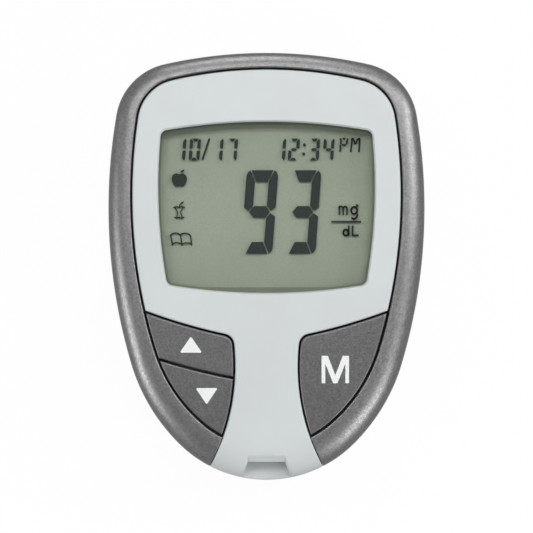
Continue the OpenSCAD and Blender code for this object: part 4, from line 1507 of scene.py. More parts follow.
    def build(self, palette: Palette) -> None:
        """Makes the front case and puts it on the housing.

        Args:
            palette: The meter's materials.
        """
        plate = self.plate().make("front_plate", 38)
        block, side = Draft(), np.array(self.port_block)
        ends = (-self.block_half, self.block_half)
        block.capped([np.column_stack([np.full(len(side), x), side]) for x in ends])
        carve(plate, block.make("port_block"), keep_both=True)
        for tool in self.notch_tools(plate):
            carve(plate, tool)
        tidied(plate, 38)
        seat(plate, Body.HOUSING, [palette.face], ["front_case"])
        skirt = self.skirt().make("front_skirt", 30)
        room = Draft()
        box_tool(room, *self.notch_room)
        carve(skirt, room.make("notch_room"))
        # the skirt takes the black core plastic: painted shade that darkens the grooves over it
        seat(tidied(skirt, 30), Body.HOUSING, [palette.core])


def box_tool(draft: Draft, low: Sequence[float], high: Sequence[float]) -> None:
    """Adds a closed box between two corners.

    Args:
        draft: The draft that it is added to.
        low: Its lowest corner.
        high: Its highest corner.
    """
    ring = np.array([(low[0], low[1]), (high[0], low[1]), (high[0], high[1]), (low[0], high[1])])
    draft.capped([lifted(ring, low[2]), lifted(ring, high[2])])


@dataclass
class SideTrim:
    """Lacquered trim that wraps round the sides, from one side of the chin to the other."""

    shape: MeterShape
    sink: float = 0.05
    lip_round: float = 0.3
    end_round: float = 0.13
    wall: float = 1.7
    lean_z: float = 18.2
    lean_in: float = 1.6
    roof_z: float = 20.5
    split: float = -38.0
    low_steps: int = 26

    def outer(self, angle: float, level: tuple[str, float]) -> Point:
        """Point of the visible skin at a level of the section.

        Args:
            angle: Facing angle in degrees.
            level: Kind and value of the level, as levels() lists them.

        Returns:
            The point.
        """
        m = self.shape
        kind, value = level
        if kind == "wall":
            p = m.case_point(angle, 0.12 if value <= m.parting else 0.0)
            return np.array([*p, value])
        if kind == "roll":
            p = m.shoulder(angle, value)
            return p - np.array([0, 0, self.sink * math.sin(math.radians(value))])
        outer, inner = m.case_point(angle), m.face_point(angle, -m.half_groove)
        turn = math.radians(value)
        plane = inner + unit(outer - inner) * self.lip_round * (1 - math.sin(turn))
        top = float(m.crown(plane)[0]) - self.sink
        return np.array([*plane, top - self.lip_round * (1 - math.cos(turn))])

    def levels(self) -> list[tuple[str, float]]:
        """Levels of the visible skin, from the parting line up and over to the groove.

        Returns:
            Kind of each level, with its height or its angle in degrees.
        """
        m = self.shape
        walls = [("wall", z) for z in (m.parting, m.parting + 0.12, 12.6, 14.4, 15.6)]
        rolls = [("roll", r) for r in (0, 3, 8, 14, 20, 26, 32, 38, 44, 50, 56, 62, 67.5, 73, 78, 82)]
        return walls + rolls + [("lip", t) for t in (0, 18, 36, 54, 72, 90)]

    def inner(self) -> list[tuple[float | None, float]]:
        """Inset and height of the hidden skin, from the groove back to the parting line.

        Returns:
            The pairs, with None for the inset of the groove's own line.
        """
        return [
            (None, self.roof_z), (self.wall + self.lean_in, self.roof_z), (self.wall, self.lean_z),
            (self.wall, 14.5), (self.wall, self.shape.parting),
        ]

    def cut(self, place: Callable[[float], Point], inset: float) -> float:
        """Facing angle at which a level meets the seam, moved back by an inset.

        Args:
            place: The level's point that faces an angle.
            inset: The inset.

        Returns:
            The angle in degrees.
        """
        m = self.shape
        radius = m.stem_r + m.half_groove - m.seam - inset
        return bisect(lambda a: np.linalg.norm(place(a)[:2] - m.stem_c) - radius, -40.0, -88.0)

    def stations(self, place: Callable[[float], Point], visible: bool) -> list[Point | tuple[Point, float, Point]]:
        """Points of one level from the middle of the top to the end at the chin.

        Args:
            place: The level's point that faces an angle.
            visible: Whether the level is of the visible skin, whose end is rounded.

        Returns:
            The points; those of a rounded end come with their depth and the way along the level.
        """
        m = self.shape
        points = [place(a) for a in m.angles(0.7) if a > self.split]
        profile = round_over(self.end_round, 4)
        last = self.cut(place, profile[0][0])
        points += [place(mix(self.split, last, i / self.low_steps)) for i in range(self.low_steps)]
        for s, d in profile:
            a = self.cut(place, s if visible else 0.0)
            p = place(a)
            if not visible:
                points.append(place(mix(last, a, min(1.0, (profile[0][0] - s) / profile[0][0]))))
                continue
            lift = place(a + 0.4) - place(a - 0.4)
            points.append((p, d, lift))
        return points

    def build(self, palette: Palette) -> None:
        """Makes the trim and puts it on the housing.

        Args:
            palette: The meter's materials.
        """
        m = self.shape
        tracks = [(lambda a, lv=level: self.outer(a, lv), True) for level in self.levels()]
        for inset, z in self.inner():
            if inset is None:
                tracks.append((lambda a, zz=z: np.array([*m.face_point(a, -m.half_groove), zz]), False))
            else:
                tracks.append((lambda a, s=inset, zz=z: np.array([*m.case_point(a, s), zz]), False))
        raw = [self.stations(place, visible) for place, visible in tracks]
        visible_count = len(self.levels())
        columns = []
        for i in range(len(raw[0])):
            column = []
            for j, track in enumerate(raw):
                entry = track[i]
                if not isinstance(entry, tuple):
                    column.append(entry)
                    continue
                p, depth, along = entry
                low = raw[max(0, j - 1)][i]
                high = raw[min(visible_count - 1, j + 1)][i]
                high, low = (p[0] if isinstance(p, tuple) else p for p in (high, low))
                across = high - low
                normal = np.cross(across, along)
                out = np.array([*unit(p[:2]), 0.5])
                normal = unit(normal if normal @ out > 0 else -normal)
                column.append(p - depth * normal)
            columns.append(np.array(column))
        half = np.array(columns)
        half[0, :, 0] = 0.0
        swept = np.concatenate([half[::-1], mirrored(half)[1:]])
        draft = Draft()
        draft.grid([row[:visible_count] for row in swept])
        for end in (swept[0], swept[-1]):
            draft.polygon(end)
        # the hidden skin takes the black core plastic: partly the moulding under the lacquer, partly painted shade
        # in the groove
        draft.paint = 1
        draft.grid([np.concatenate([row[visible_count - 1 :], row[:1]]) for row in swept])
        skin = draft.make("side_trim_skin", 38)
        seat(skin, Body.HOUSING, [palette.trim, palette.core], ["side_trim"])


@dataclass
class Key:
    """One key: a crowned cap with rounded edges, a flange behind the face, a collar and a plunger."""

    kind: KeyKind
    body: Body
    node: str
    spot: tuple[float, float]
    rise: float = 0.1
    edge_round: float = 0.3
    flange_reach: float = 1.2
    flange_z: float = 19.15
    flange_top: float = 20.15
    painted_z: float = 21.0
    plunger_r: float = 1.6
    plunger_z: float = 13.42
    collar_w: float = 1.2
    collar_h: float = 0.5

    def ring(self, shape: MeterShape, inset: float, divider: float | None = None) -> Loop:
        """Plan ring of the key where it really is."""
        made = key_ring(shape, self.kind, inset, inset if divider is None else divider)
        return made if self.kind is KeyKind.MEMORY else mirrored(made)

    def build(self, shape: MeterShape, palette: Palette) -> None:
        """Makes the key and puts it on its own body.

        Args:
            shape: The shape of the meter.
            palette: The meter's materials.
        """
        draft, g = Draft(), shape.half_groove
        rings = []
        for s, d in round_over(self.edge_round, 5):
            plane = self.ring(shape, g + s)
            normals = np.array([shape.crown_normal(p) for p in plane])
            lift = np.column_stack([plane, shape.crown(plane) + self.rise])
            rings.append(lift - d * normals)
        draft.sheet([rings[0]], lambda p: shape.crown(p) + self.rise, 1.3)
        rim = self.ring(shape, g)
        flange = self.ring(shape, g - self.flange_reach, 0.35)
        draft.grid([*rings, lifted(rim, self.painted_z)], closed=True)
        # below the painted level the key is black core plastic: partly the moulding under the lacquer, partly
        # painted shade in the groove round the key
        draft.paint = 1
        draft.grid([lifted(rim, self.painted_z), lifted(rim, self.flange_top - 0.05)], closed=True)
        draft.sheet([rim], flat(self.flange_top - 0.05))
        draft.sheet([flange], flat(self.flange_top))
        draft.grid([lifted(flange, self.flange_top), lifted(flange, self.flange_z)], closed=True)
        centre = np.array(self.spot)
        collar = arc_run(centre, self.plunger_r + self.collar_w, 0, 360, 56)[:-1]
        plunger = arc_run(centre, self.plunger_r, 0, 360, 56)[:-1]
        tip = arc_run(centre, self.plunger_r - 0.25, 0, 360, 56)[:-1]
        draft.sheet([flange, collar], flat(self.flange_z))
        low = self.flange_z - self.collar_h
        draft.grid([
            lifted(collar, self.flange_z), lifted(collar, low), lifted(plunger, low),
            lifted(plunger, self.plunger_z + 0.25), lifted(tip, self.plunger_z),
        ], closed=True)
        draft.polygon(lifted(tip, self.plunger_z))
        cap = draft.make(f"{self.kind.value}_key_cap", 38)
        seat(cap, self.body, [palette.key, palette.core], [self.node])


def rounded_polygon(points: Sequence[tuple[float, float]], radius: float, steps: int = 5) -> Loop:
    """Closed ring of a polygon whose corners are rounded to a radius.

    Args:
        points: Corners of the polygon.
        radius: The radius.
        steps: Number of steps round a corner.

    Returns:
        The ring.
    """
    corners = [np.array(p, float) for p in points]
    made = []
    for i, p in enumerate(corners):
        back, ahead = corners[i - 1] - p, corners[(i + 1) % len(corners)] - p
        a, b = unit(back), unit(ahead)
        half = math.acos(max(-1.0, min(1.0, float(a @ b)))) / 2
        reach = radius / math.tan(half)
        limit = 0.45 * min(np.linalg.norm(back), np.linalg.norm(ahead))
        reach = min(reach, float(limit))
        start, end = p + a * reach, p + b * reach
        for t in (k / steps for k in range(steps + 1)):
            made.append((1 - t) ** 2 * start + 2 * t * (1 - t) * p + t**2 * end)
    return np.array(made)


def slab(
    rings: Sequence[Loop],
    low: Callable[[Loop], np.ndarray],
    high: Callable[[Loop], np.ndarray],
    draft: Draft,
) -> None:
    """Adds a thin closed slab.

    Args:
        rings: Its outer ring and its holes, in plan.
        low: Heights of its underside.
        high: Heights of its upper side.
        draft: The draft that it is added to.
    """
    plane, faces = fill(rings)
    count = len(plane)
    upper, lower = (np.column_stack([plane, level(plane)]) for level in (high, low))
    under = [tuple(i + count for i in reversed(face)) for face in faces]
    edges = dict.fromkeys((a, b) for face in faces for a, b in zip(face, (*face[1:], face[0])))
    rim = [(b, a, a + count, b + count) for a, b in edges if (b, a) not in edges]
    draft.triangles(np.concatenate([upper, lower]), [*faces, *under, *rim])


@dataclass
class Keypad:
    """The three keys with their printed legends."""

    shape: MeterShape
    keys: tuple[Key, ...] = (
        Key(KeyKind.UP, Body.UP_KEY, "up_button", (-13.6, -14.4)),
        Key(KeyKind.DOWN, Body.DOWN_KEY, "down_button", (-11.2, -23.0)),
        Key(KeyKind.MEMORY, Body.MEMORY_KEY, "memory_button", (12.9, -18.6)),
    )
    ink_height: float = 0.025
    letter_at: tuple[float, float] = (9.92, -21.02)
    letter_size: float = 4.94

    def legends(self) -> list[tuple[str, Body, Loop]]:
        """Name, body and plan ring of each legend.

        Returns:
            The three legends.
        """
        up = [(-15.64, -15.52), (-13.61, -12.6), (-11.6, -15.52)]
        down = [(-12.78, -21.88), (-8.76, -21.88), (-10.78, -24.86)]
        h = self.letter_size
        leg, middle = 0.66, h / 2
        letter = [
            (0, 0), (0, h), (1.12, h), (middle, 1.45), (h - 1.12, h), (h, h), (h, 0), (h - leg, 0),
            (h - leg, 3.55), (middle + 0.38, 0), (middle - 0.38, 0), (leg, 3.55), (leg, 0),
        ]
        placed = [(self.letter_at[0] + x, self.letter_at[1] + y) for x, y in letter]
        return [
            ("up_legend", Body.UP_KEY, rounded_polygon(up, 0.22)),
            ("down_legend", Body.DOWN_KEY, rounded_polygon(down, 0.22)),
            ("memory_legend", Body.MEMORY_KEY, rounded_polygon(placed, 0.05, 2)),
        ]

    def build(self, palette: Palette) -> None:
        """Makes the keys and their legends.

        Args:
            palette: The meter's materials.
        """
        for key in self.keys:
            key.build(self.shape, palette)
        rise = self.keys[0].rise
        for name, body, ring in self.legends():
            draft = Draft()
            slab(
                [ring],
                lambda p: self.shape.crown(p) + rise - 0.01,
                lambda p: self.shape.crown(p) + rise + self.ink_height,
                draft,
            )
            seat(draft.make(name, weld=0), body, [palette.legend])


# ---- Display ----------------------------------------------------------------------------------


@dataclass
class SegmentDigit:
    """A slanted seven-segment digit."""

    width: float = 5.7
    height: float = 15.06
    upright: float = 1.7
    bar: float = 2.13
    gap: float = 0.19
    slant: float = 0.074
    corner: float = 0.8
    corner_drop: float = 1.25

    LIT = {
        "0": "abcdef", "1": "bc", "2": "abged", "3": "abgcd", "4": "fgbc", "7": "abc", "9": "abcdfg",
    }

    def segments(self) -> dict[str, list[tuple[float, float]]]:
        """Corner points of each segment, before the slant.

        Returns:
            The corners by the segment's letter.
        """
        w, h, u, b, c = self.width, self.height, self.upright, self.bar, self.corner
        mid, e = h / 2, self.gap / 2
        tip = b / 2
        drop = self.corner_drop
        top = [(c + e, h), (w - c - e, h), (w - u - e * 1.4, h - b), (u + e * 1.4, h - b)]
        middle = [
            (u * 0.5 + e * 1.2, mid), (u + e * 1.2, mid + tip), (w - u - e * 1.2, mid + tip),
            (w - u * 0.5 - e * 1.2, mid), (w - u - e * 1.2, mid - tip), (u + e * 1.2, mid - tip),
        ]
        left = [
            (c - e * 1.2, h - 0.02), (u - e, h - b + e * 0.4), (u - e, mid + tip + e * 0.4),
            (u * 0.5, mid + e * 2), (0, mid + tip * 0.75), (0, h - drop),
            (c * 0.08, h - drop * 0.6), (c * 0.35, h - drop * 0.25),
        ]
        right = [(w - x, y) for x, y in left[::-1]]
        return {
            "a": top, "g": middle, "d": [(x, h - y) for x, y in top[::-1]],
            "f": left, "b": right,
            "e": [(x, h - y) for x, y in left[::-1]], "c": [(x, h - y) for x, y in right[::-1]],
        }

    def rings(self, figure: str, x0: float, y0: float) -> list[Loop]:
        """Plan rings of a figure with its lower left corner at a place.

        Args:
            figure: The figure.
            x0: The place along X.
            y0: The place along Y.

        Returns:
            A ring for each lit segment.
        """
        found = self.segments()
        return [
            np.array([(x0 + x + self.slant * y, y0 + y) for x, y in found[s]])
            for s in self.LIT[figure]
        ]


def stroke(points: Sequence[tuple[float, float]], width: float) -> list[Loop]:
    """Rings of a line drawn with a round pen.

    Args:
        points: The line's points.
        width: Width of the pen.

    Returns:
        A ring for each piece of the line.
    """
    made = []
    for a, b in zip(points, points[1:]):
        a, b = np.array(a, float), np.array(b, float)
        turn = heading(b - a)
        made.append(np.concatenate([
            arc_run(b, width / 2, turn - 90, turn + 90, 6), arc_run(a, width / 2, turn + 90, turn + 270, 6)
        ]))
    return made


def softened(points: Sequence[tuple[float, float]], rounds: int = 3) -> Loop:
    """Closed ring with its corners cut again and again until it is smooth.

    Args:
        points: Corners of the ring.
        rounds: How often they are cut.

    Returns:
        The ring.
    """
    ring = np.array(points, float)
    for _ in range(rounds):
        ahead = np.roll(ring, -1, axis=0)
        ring = np.stack([ring * 0.75 + ahead * 0.25, ring * 0.25 + ahead * 0.75], axis=1).reshape(-1, 2)
    return ring


def ellipse(x: float, y: float, rx: float, ry: float, turn: float = 0.0, steps: int = 28) -> Loop:
    """Ring of an ellipse turned by an angle in degrees.

    Args:
        x: Its middle along X.
        y: Its middle along Y.
        rx: Half its width.
        ry: Half its height.
        turn: The angle.
        steps: Number of points.

    Returns:
        The ring.
    """
    c, s = math.cos(math.radians(turn)), math.sin(math.radians(turn))
    ring = [(rx * math.cos(t), ry * math.sin(t)) for t in np.linspace(0, 2 * math.pi, steps, endpoint=False)]
    return np.array([(x + c * px - s * py, y + s * px + c * py) for px, py in ring])


@dataclass
class Display:
    """Window lens, display glasses, reflector, the switched segments between the glasses, and a darker border film
    that is painted shade of the window's rim.
    """

    window: WindowShape
    lens_top: float = 21.5
    lens_seat: float = 19.95
    lens_low: float = 18.95
    lens_flange: float = 1.3
    film_z: float = 17.65
    film: float = 0.03
    pen: float = 0.34
    # insets from the window's edge of the darker border and of the half-dark ring: painted shade of the rim
    mask_and_shade_insets: tuple[float, float] = (0.62, 0.95)
    mask_and_shade_rise: tuple[float, float] = (0.02, 0.04)
    reflector_low: tuple[float, float] = (-19.86, -3.76)
    reflector_high: tuple[float, float] = (19.86, 25.56)
    border_corners: tuple[tuple[float, float], ...] = ((-20.4, -5.5), (20.4, -5.5), (20.4, 27.3), (-20.4, 27.3))

    def on_display(self, ring: Loop) -> Loop:
        """A ring held inside the edges of the reflector."""
        return np.clip(ring, self.reflector_low, self.reflector_high)

    def lens(self) -> Draft:
        """The lens with its flange and a broken upper edge.

        Returns:
            The draft of the lens.
        """
        draft = Draft()
        top, side = self.window.ring(-0.22), self.window.ring(-0.1)
        flange = self.window.ring(self.lens_flange)
        draft.sheet([top], flat(self.lens_top), 0)
        draft.grid([
            lifted(top, self.lens_top), lifted(side, self.lens_top - 0.12), lifted(side, self.lens_seat),
            lifted(flange, self.lens_seat), lifted(flange, self.lens_low),
        ], closed=True)
        draft.sheet([flange], flat(self.lens_low), 0)
        return draft

    def small_text(self) -> list[Loop]:
        """Rings of the date and the time.

        Returns:
            The rings in plan.
        """
        digit = SegmentDigit(1.98, 4.0, 0.66, 0.54, 0.14, 0.074, 0.3, 0.5)
        y, rings = 19.09, []
        rights = (-14.4, -11.8, -7.7, -5.12, 3.6, 6.07, 9.7, 12.32)
        for figure, right in zip("10171234", rights):
            rings += digit.rings(figure, right - digit.width - digit.slant * digit.height, y)
        rings += stroke([(-11.54, 19.35), (-10.33, 22.95)], 0.38)
        rings += [ellipse(6.83, 21.93, 0.27, 0.3), ellipse(6.7, 20.28, 0.27, 0.3)]
        return rings

    def bowl(self, x: float, y: float, rx: float, ry: float) -> list[tuple[float, float]]:
        """Points round the bowl of a letter."""
        return [(x + rx * math.cos(t), y + ry * math.sin(t)) for t in np.linspace(0, 2 * math.pi, 15)]

    def unit_text(self) -> list[Loop]:
        """Rings of the unit, the half of the day and the line between.

        Returns:
            The rings in plan.
        """
        w = self.pen
        rings = [softened([(13.6, 23.26), (14.42, 23.26), (14.08, 22.78), (13.92, 22.78)], 2)]
        for line, width in (
            ([(13.36, 23.03), (13.45, 22.56), (13.38, 22.15)], w),
            ([(14.65, 22.97), (14.5, 22.5), (14.46, 22.15)], w),
            ([(13.69, 21.93), (14.2, 21.93)], w),
            ([(13.31, 21.78), (13.33, 21.28), (13.26, 20.77)], w),
            ([(15.21, 20.77), (15.43, 23.05), (15.6, 23.05), (16.0, 22.15), (16.45, 22.95), (16.79, 23.05),
              (16.71, 20.77)], w),
            ([(13.13, 9.4), (13.13, 10.8), (13.53, 10.83), (13.83, 10.6), (13.83, 9.4)], w),
            ([(13.83, 10.6), (14.13, 10.83), (14.4, 10.75), (14.52, 10.5), (14.52, 9.4)], w),
            (self.bowl(15.81, 10.12, 0.56, 0.64), w),
            ([(16.28, 11.06), (16.42, 10.92)], w * 1.2),
            ([(16.39, 9.35), (16.3, 8.99), (16.02, 8.67), (15.75, 8.56), (15.43, 8.75)], w),
            ([(11.82, 8.065), (16.93, 8.065)], w),
            (self.bowl(14.3, 6.13, 0.46, 0.55), w),
            ([(14.82, 7.24), (14.82, 5.58)], w),
            ([(15.52, 7.24), (15.52, 5.62), (16.5, 5.62)], w),
        ):
            rings += stroke(line, width)
        return rings

    def marks(self) -> list[Loop]:
        """Rings of the marks on the left: a fruit, a core and an open book.

        Returns:
            The rings in plan.
        """
        x, y, rings = -15.72, 15.62, []
        right = [
            (0.0, 1.0), (0.36, 1.17), (0.8, 1.15), (1.18, 0.86), (1.38, 0.4), (1.36, -0.1), (1.2, -0.62),
            (0.86, -1.1), (0.48, -1.27), (0.2, -1.18), (0.0, -1.12),
        ]
        outline = [*right, *[(-px, py) for px, py in right[-2:0:-1]]]
        rings.append(softened([(x + px, y + py) for px, py in outline]))
        stalk = [(0.1, 1.2), (0.3, 1.72), (1.02, 1.92), (0.72, 1.4)]
        rings.append(softened([(x + px, y + py) for px, py in stalk]))
        rings.append(softened([(-15.72, 11.02), (-15.5, 11.52), (-14.8, 11.86), (-15.08, 11.34)], 2))
        top = [(-17.28, 5.62), (-17.03, 5.9), (-16.45, 6.05), (-15.91, 5.93), (-15.52, 5.67)]
        for line, width in (
            ([(-16.72, 10.64), (-16.25, 10.79), (-15.76, 10.66), (-15.27, 10.79), (-14.8, 10.66)], 0.26),
            ([(-16.56, 8.84), (-16.2, 8.72), (-15.76, 8.86), (-15.32, 8.7), (-14.92, 8.86)], 0.27),
            ([(-16.49, 10.57), (-16.1, 9.94), (-16.03, 9.54), (-16.2, 8.91)], 0.21),
            ([(-15.08, 10.57), (-15.42, 10.03), (-15.45, 9.54), (-15.22, 8.95)], 0.21),
            ([(-15.72, 10.8), (-15.62, 11.15)], 0.18),
            ([(-16.95, 3.88), *top, (-15.22, 3.8)], 0.26),
            ([top[-1], (-15.27, 5.9), (-14.68, 6.02), (-14.0, 5.84), (-13.71, 5.55), (-13.49, 3.84)], 0.26),
            ([(-16.95, 4.1), (-16.35, 4.29), (-15.76, 4.23), (-15.25, 4.03)], 0.24),
            ([(-15.25, 4.03), (-14.63, 4.25), (-14.0, 4.24), (-13.5, 4.08)], 0.24),
        ):
            rings += stroke(line, width)
        return rings

    def build(self, palette: Palette) -> None:
        """Makes the lens and the segments and dresses the display's nodes.

        Args:
            palette: The meter's materials.
        """
        lens = self.lens().make("window_lens", 30)
        lens = seat(lens, Body.HOUSING, [palette.lens], ["display_window"])
        big = SegmentDigit()
        digits = big.rings("9", -4.66, 2.3) + big.rings("3", 3.12, 2.3)
        for name, rings in (
            ("reading_segments", digits), ("date_time_segments", self.small_text()),
            ("unit_segments", self.unit_text()), ("mark_segments", self.marks()),
        ):
            draft = Draft()
            for ring in rings:
                slab([ring], flat(self.film_z - self.film / 2), flat(self.film_z + self.film / 2), draft)
            seat(draft.make(name, weld=0), Body.HOUSING, [palette.segment])
        # painted shade: a darker film ring round the display and a half-dark ring inside it, following the
        # window's edge, stand in for the rim's shade
        border = Draft()
        outer = np.array(self.border_corners)
        dark, soft = (self.on_display(self.window.ring(-inset)) for inset in self.mask_and_shade_insets)
        low, high = (flat(self.film_z + rise) for rise in self.mask_and_shade_rise)
        slab([outer, dark], low, high, border)
        border.paint = 1
        slab([dark, soft], low, high, border)
        seat(border.make("border_shade_film", weld=0), Body.HOUSING, [palette.border, palette.fade])
        for node, material in {
            "lcd_front_glass": palette.glass, "lcd_rear_glass": palette.glass,
            "lcd_reflector": palette.reflector, "lcd_frame": palette.white,
            "window_gasket": palette.gasket, "zebra_strips": palette.zebra,
        }.items():
            dress(node, material)
        # light falls through the clear sheets both ways, so only the eye meets their gloss
        for sheet in (lens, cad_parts["lcd_front_glass"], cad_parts["lcd_rear_glass"]):
            sheet.visible_shadow = False
            sheet.visible_diffuse = False
            sheet.visible_glossy = False


def dress(node: str, material: bpy.types.Material) -> None:
    """Gives a CAD node that stays a better material.

    Args:
        node: The CAD node.
        material: The material.
    """
    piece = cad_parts[node]
    for spot in piece.material_slots:
        spot.material = material
    if not piece.material_slots:
        piece.data.materials.append(material)


# ---- Rear and inside --------------------------------------------------------------------------


class GeometryTree:
    """A Geometry Nodes tree with named inputs, whose result becomes a plain mesh."""

    def __init__(self, name: str, inputs: dict[str, str]) -> None:
        """Starts a tree.

        Args:
            name: Name of the tree.
            inputs: Socket type of each named input, such as Float, Int or Material.
        """
        self.tree = bpy.data.node_groups.new(name, "GeometryNodeTree")
        sockets = self.tree.interface
        self.keys = {
            label: sockets.new_socket(label, in_out="INPUT", socket_type=f"NodeSocket{kind}").identifier
            for label, kind in {"Geometry": "Geometry", **inputs}.items()
        }
        sockets.new_socket("Geometry", in_out="OUTPUT", socket_type="NodeSocketGeometry")
        self.given = self.tree.nodes.new("NodeGroupInput").outputs

    def add(
        self, kind: str, inputs: dict | None = None, out: int | str = 0, **settings: object
    ) -> bpy.types.NodeSocket | None:
        """Adds a node to the tree."""
        return add_node(self.tree, kind, inputs, out, **settings)

    def finish(self, shown: bpy.types.NodeSocket, material: str | None = None) -> None:
        """Ends the tree in Realize Instances and Set Material.

        Args:
            shown: The geometry that the tree gives.
            material: Named input with its material, or none where its parts have theirs.
        """
        last = self.add("GeometryNodeRealizeInstances", {0: shown})
        if material is not None:
            last = self.add("GeometryNodeSetMaterial", {0: last, "Material": self.given[material]})
        self.add("NodeGroupOutput", {0: last})

    def run(self, name: str, values: dict[str, object], seeds: Loop) -> bpy.types.Object:
        """Runs the tree on some points and returns its result as a plain object.

        Args:
            name: Name of the object.
            values: Value of each named input; a float is a size in millimetres.
            seeds: Points in millimetres that the tree starts from.

        Returns:
            The object, at the origin.
        """
        mesh = bpy.data.meshes.new(name)
        line = [(i, i + 1) for i in range(len(seeds) - 1)]
        mesh.from_pydata([[c * MM for c in p] for p in seeds], line, [])
        piece = bpy.data.objects.new(name, mesh)
        bpy.context.scene.collection.objects.link(piece)
        modifier = piece.modifiers.new("nodes", "NODES")
        modifier.node_group = self.tree
        for key, value in values.items():
            modifier[self.keys[key]] = value * MM if isinstance(value, float) else value
        return settled(piece)


@dataclass
class RearShell:
    """Grained rear case and the battery cover with its finger grip."""

    smooth_below: float = 24.0

    def build(self, palette: Palette) -> None:
        """Makes smooth-shaded copies of the two mouldings.

        Args:
            palette: The meter's materials.
        """
        for node, name, body in (
            ("rear_case", "rear_case_shell", Body.HOUSING),
            ("battery_door", "battery_cover_shell", Body.BATTERY_COVER),
        ):
            seat(copy_of_node(node, name, self.smooth_below), body, [palette.back], [node])


@dataclass
class CaseScrews:
    """Three cross-recessed screws with rounded heads and cut threads."""

    head_r: float = 1.9
    head_h: float = 1.4
    head_z: float = 1.95
    shank_r: float = 0.95
    tip_z: float = 16.4
    recess: float = 2.1
    recess_w: float = 0.5
    thread_pitch: float = 0.8
    thread_r: float = 0.09

    def tree(self) -> GeometryTree:
        """Builds the tree of one screw, set on each point.

        Returns:
            The finished tree.
        """
        sizes = (
            "Head Radius", "Head Height", "Shank Radius", "Shank Length", "Recess", "Recess Width",
            "Thread Pitch", "Thread Radius",
        )
        g = GeometryTree("screw_set", {**dict.fromkeys(sizes, "Float"), "Metal": "Material"})
        head_r, head_h, shank_r, shank_l, recess, recess_w, pitch, thread_r = (g.given[s] for s in sizes)
        head = g.add("GeometryNodeMeshCylinder", {"Vertices": 48, "Radius": head_r, "Depth": head_h})
        half = g.add("ShaderNodeMath", {0: head_h, 1: 0.5}, operation="MULTIPLY")
        lift = g.add("ShaderNodeCombineXYZ", {2: half})
        head = g.add("GeometryNodeTransform", {0: head, "Translation": lift})
        bar = g.add("GeometryNodeMeshCube", {
            "Size": g.add("ShaderNodeCombineXYZ", {0: recess, 1: recess_w, 2: recess}),
        })
        cross = g.add("GeometryNodeTransform", {0: bar, "Rotation": (0.0, 0.0, math.pi / 2)})
        cutter = g.add("GeometryNodeJoinGeometry", {0: [bar, cross]})
        head = g.add("GeometryNodeMeshBoolean", {0: head, 1: cutter}, operation="DIFFERENCE")
        shank = g.add("GeometryNodeMeshCylinder", {"Vertices": 32, "Radius": shank_r, "Depth": shank_l})
        reach = g.add("ShaderNodeMath", {0: shank_l, 1: 0.5, 2: head_h}, operation="MULTIPLY_ADD")
        deep = g.add("ShaderNodeCombineXYZ", {2: reach})
        shank = g.add("GeometryNodeTransform", {0: shank, "Translation": deep})
        turns = g.add("ShaderNodeMath", {0: shank_l, 1: pitch}, operation="DIVIDE")
        spiral = g.add("GeometryNodeCurveSpiral", {
            "Resolution": 24, "Rotations": turns, "Start Radius": shank_r, "End Radius": shank_r,
            "Height": shank_l,
        })
        ridge = g.add("GeometryNodeCurvePrimitiveCircle", {"Resolution": 5, "Radius": thread_r})
        thread = g.add("GeometryNodeCurveToMesh", {0: spiral, 1: ridge, "Fill Caps": True})
        base = g.add("ShaderNodeCombineXYZ", {2: head_h})
        thread = g.add("GeometryNodeTransform", {0: thread, "Translation": base})
        screw = g.add("GeometryNodeJoinGeometry", {0: [head, shank, thread]})
        points = {"Points": g.given["Geometry"], "Instance": screw}
        g.finish(g.add("GeometryNodeInstanceOnPoints", points), "Metal")
        return g

    def build(self, palette: Palette) -> None:
        """Makes the screws and puts them on the housing.

        Args:
            palette: The meter's materials.
        """
        seeds = np.array([(x, y, self.head_z) for x, y in SCREW_SPOTS])
        piece = self.tree().run("case_screw_set", {
            "Head Radius": self.head_r, "Head Height": self.head_h, "Shank Radius": self.shank_r,
            "Shank Length": self.tip_z - self.head_z - self.head_h, "Recess": self.recess,
            "Recess Width": self.recess_w, "Thread Pitch": self.thread_pitch,
            "Thread Radius": self.thread_r, "Metal": palette.steel,
        }, seeds)
        seat(tidied(piece, 40), Body.HOUSING, (), ["case_screws"])


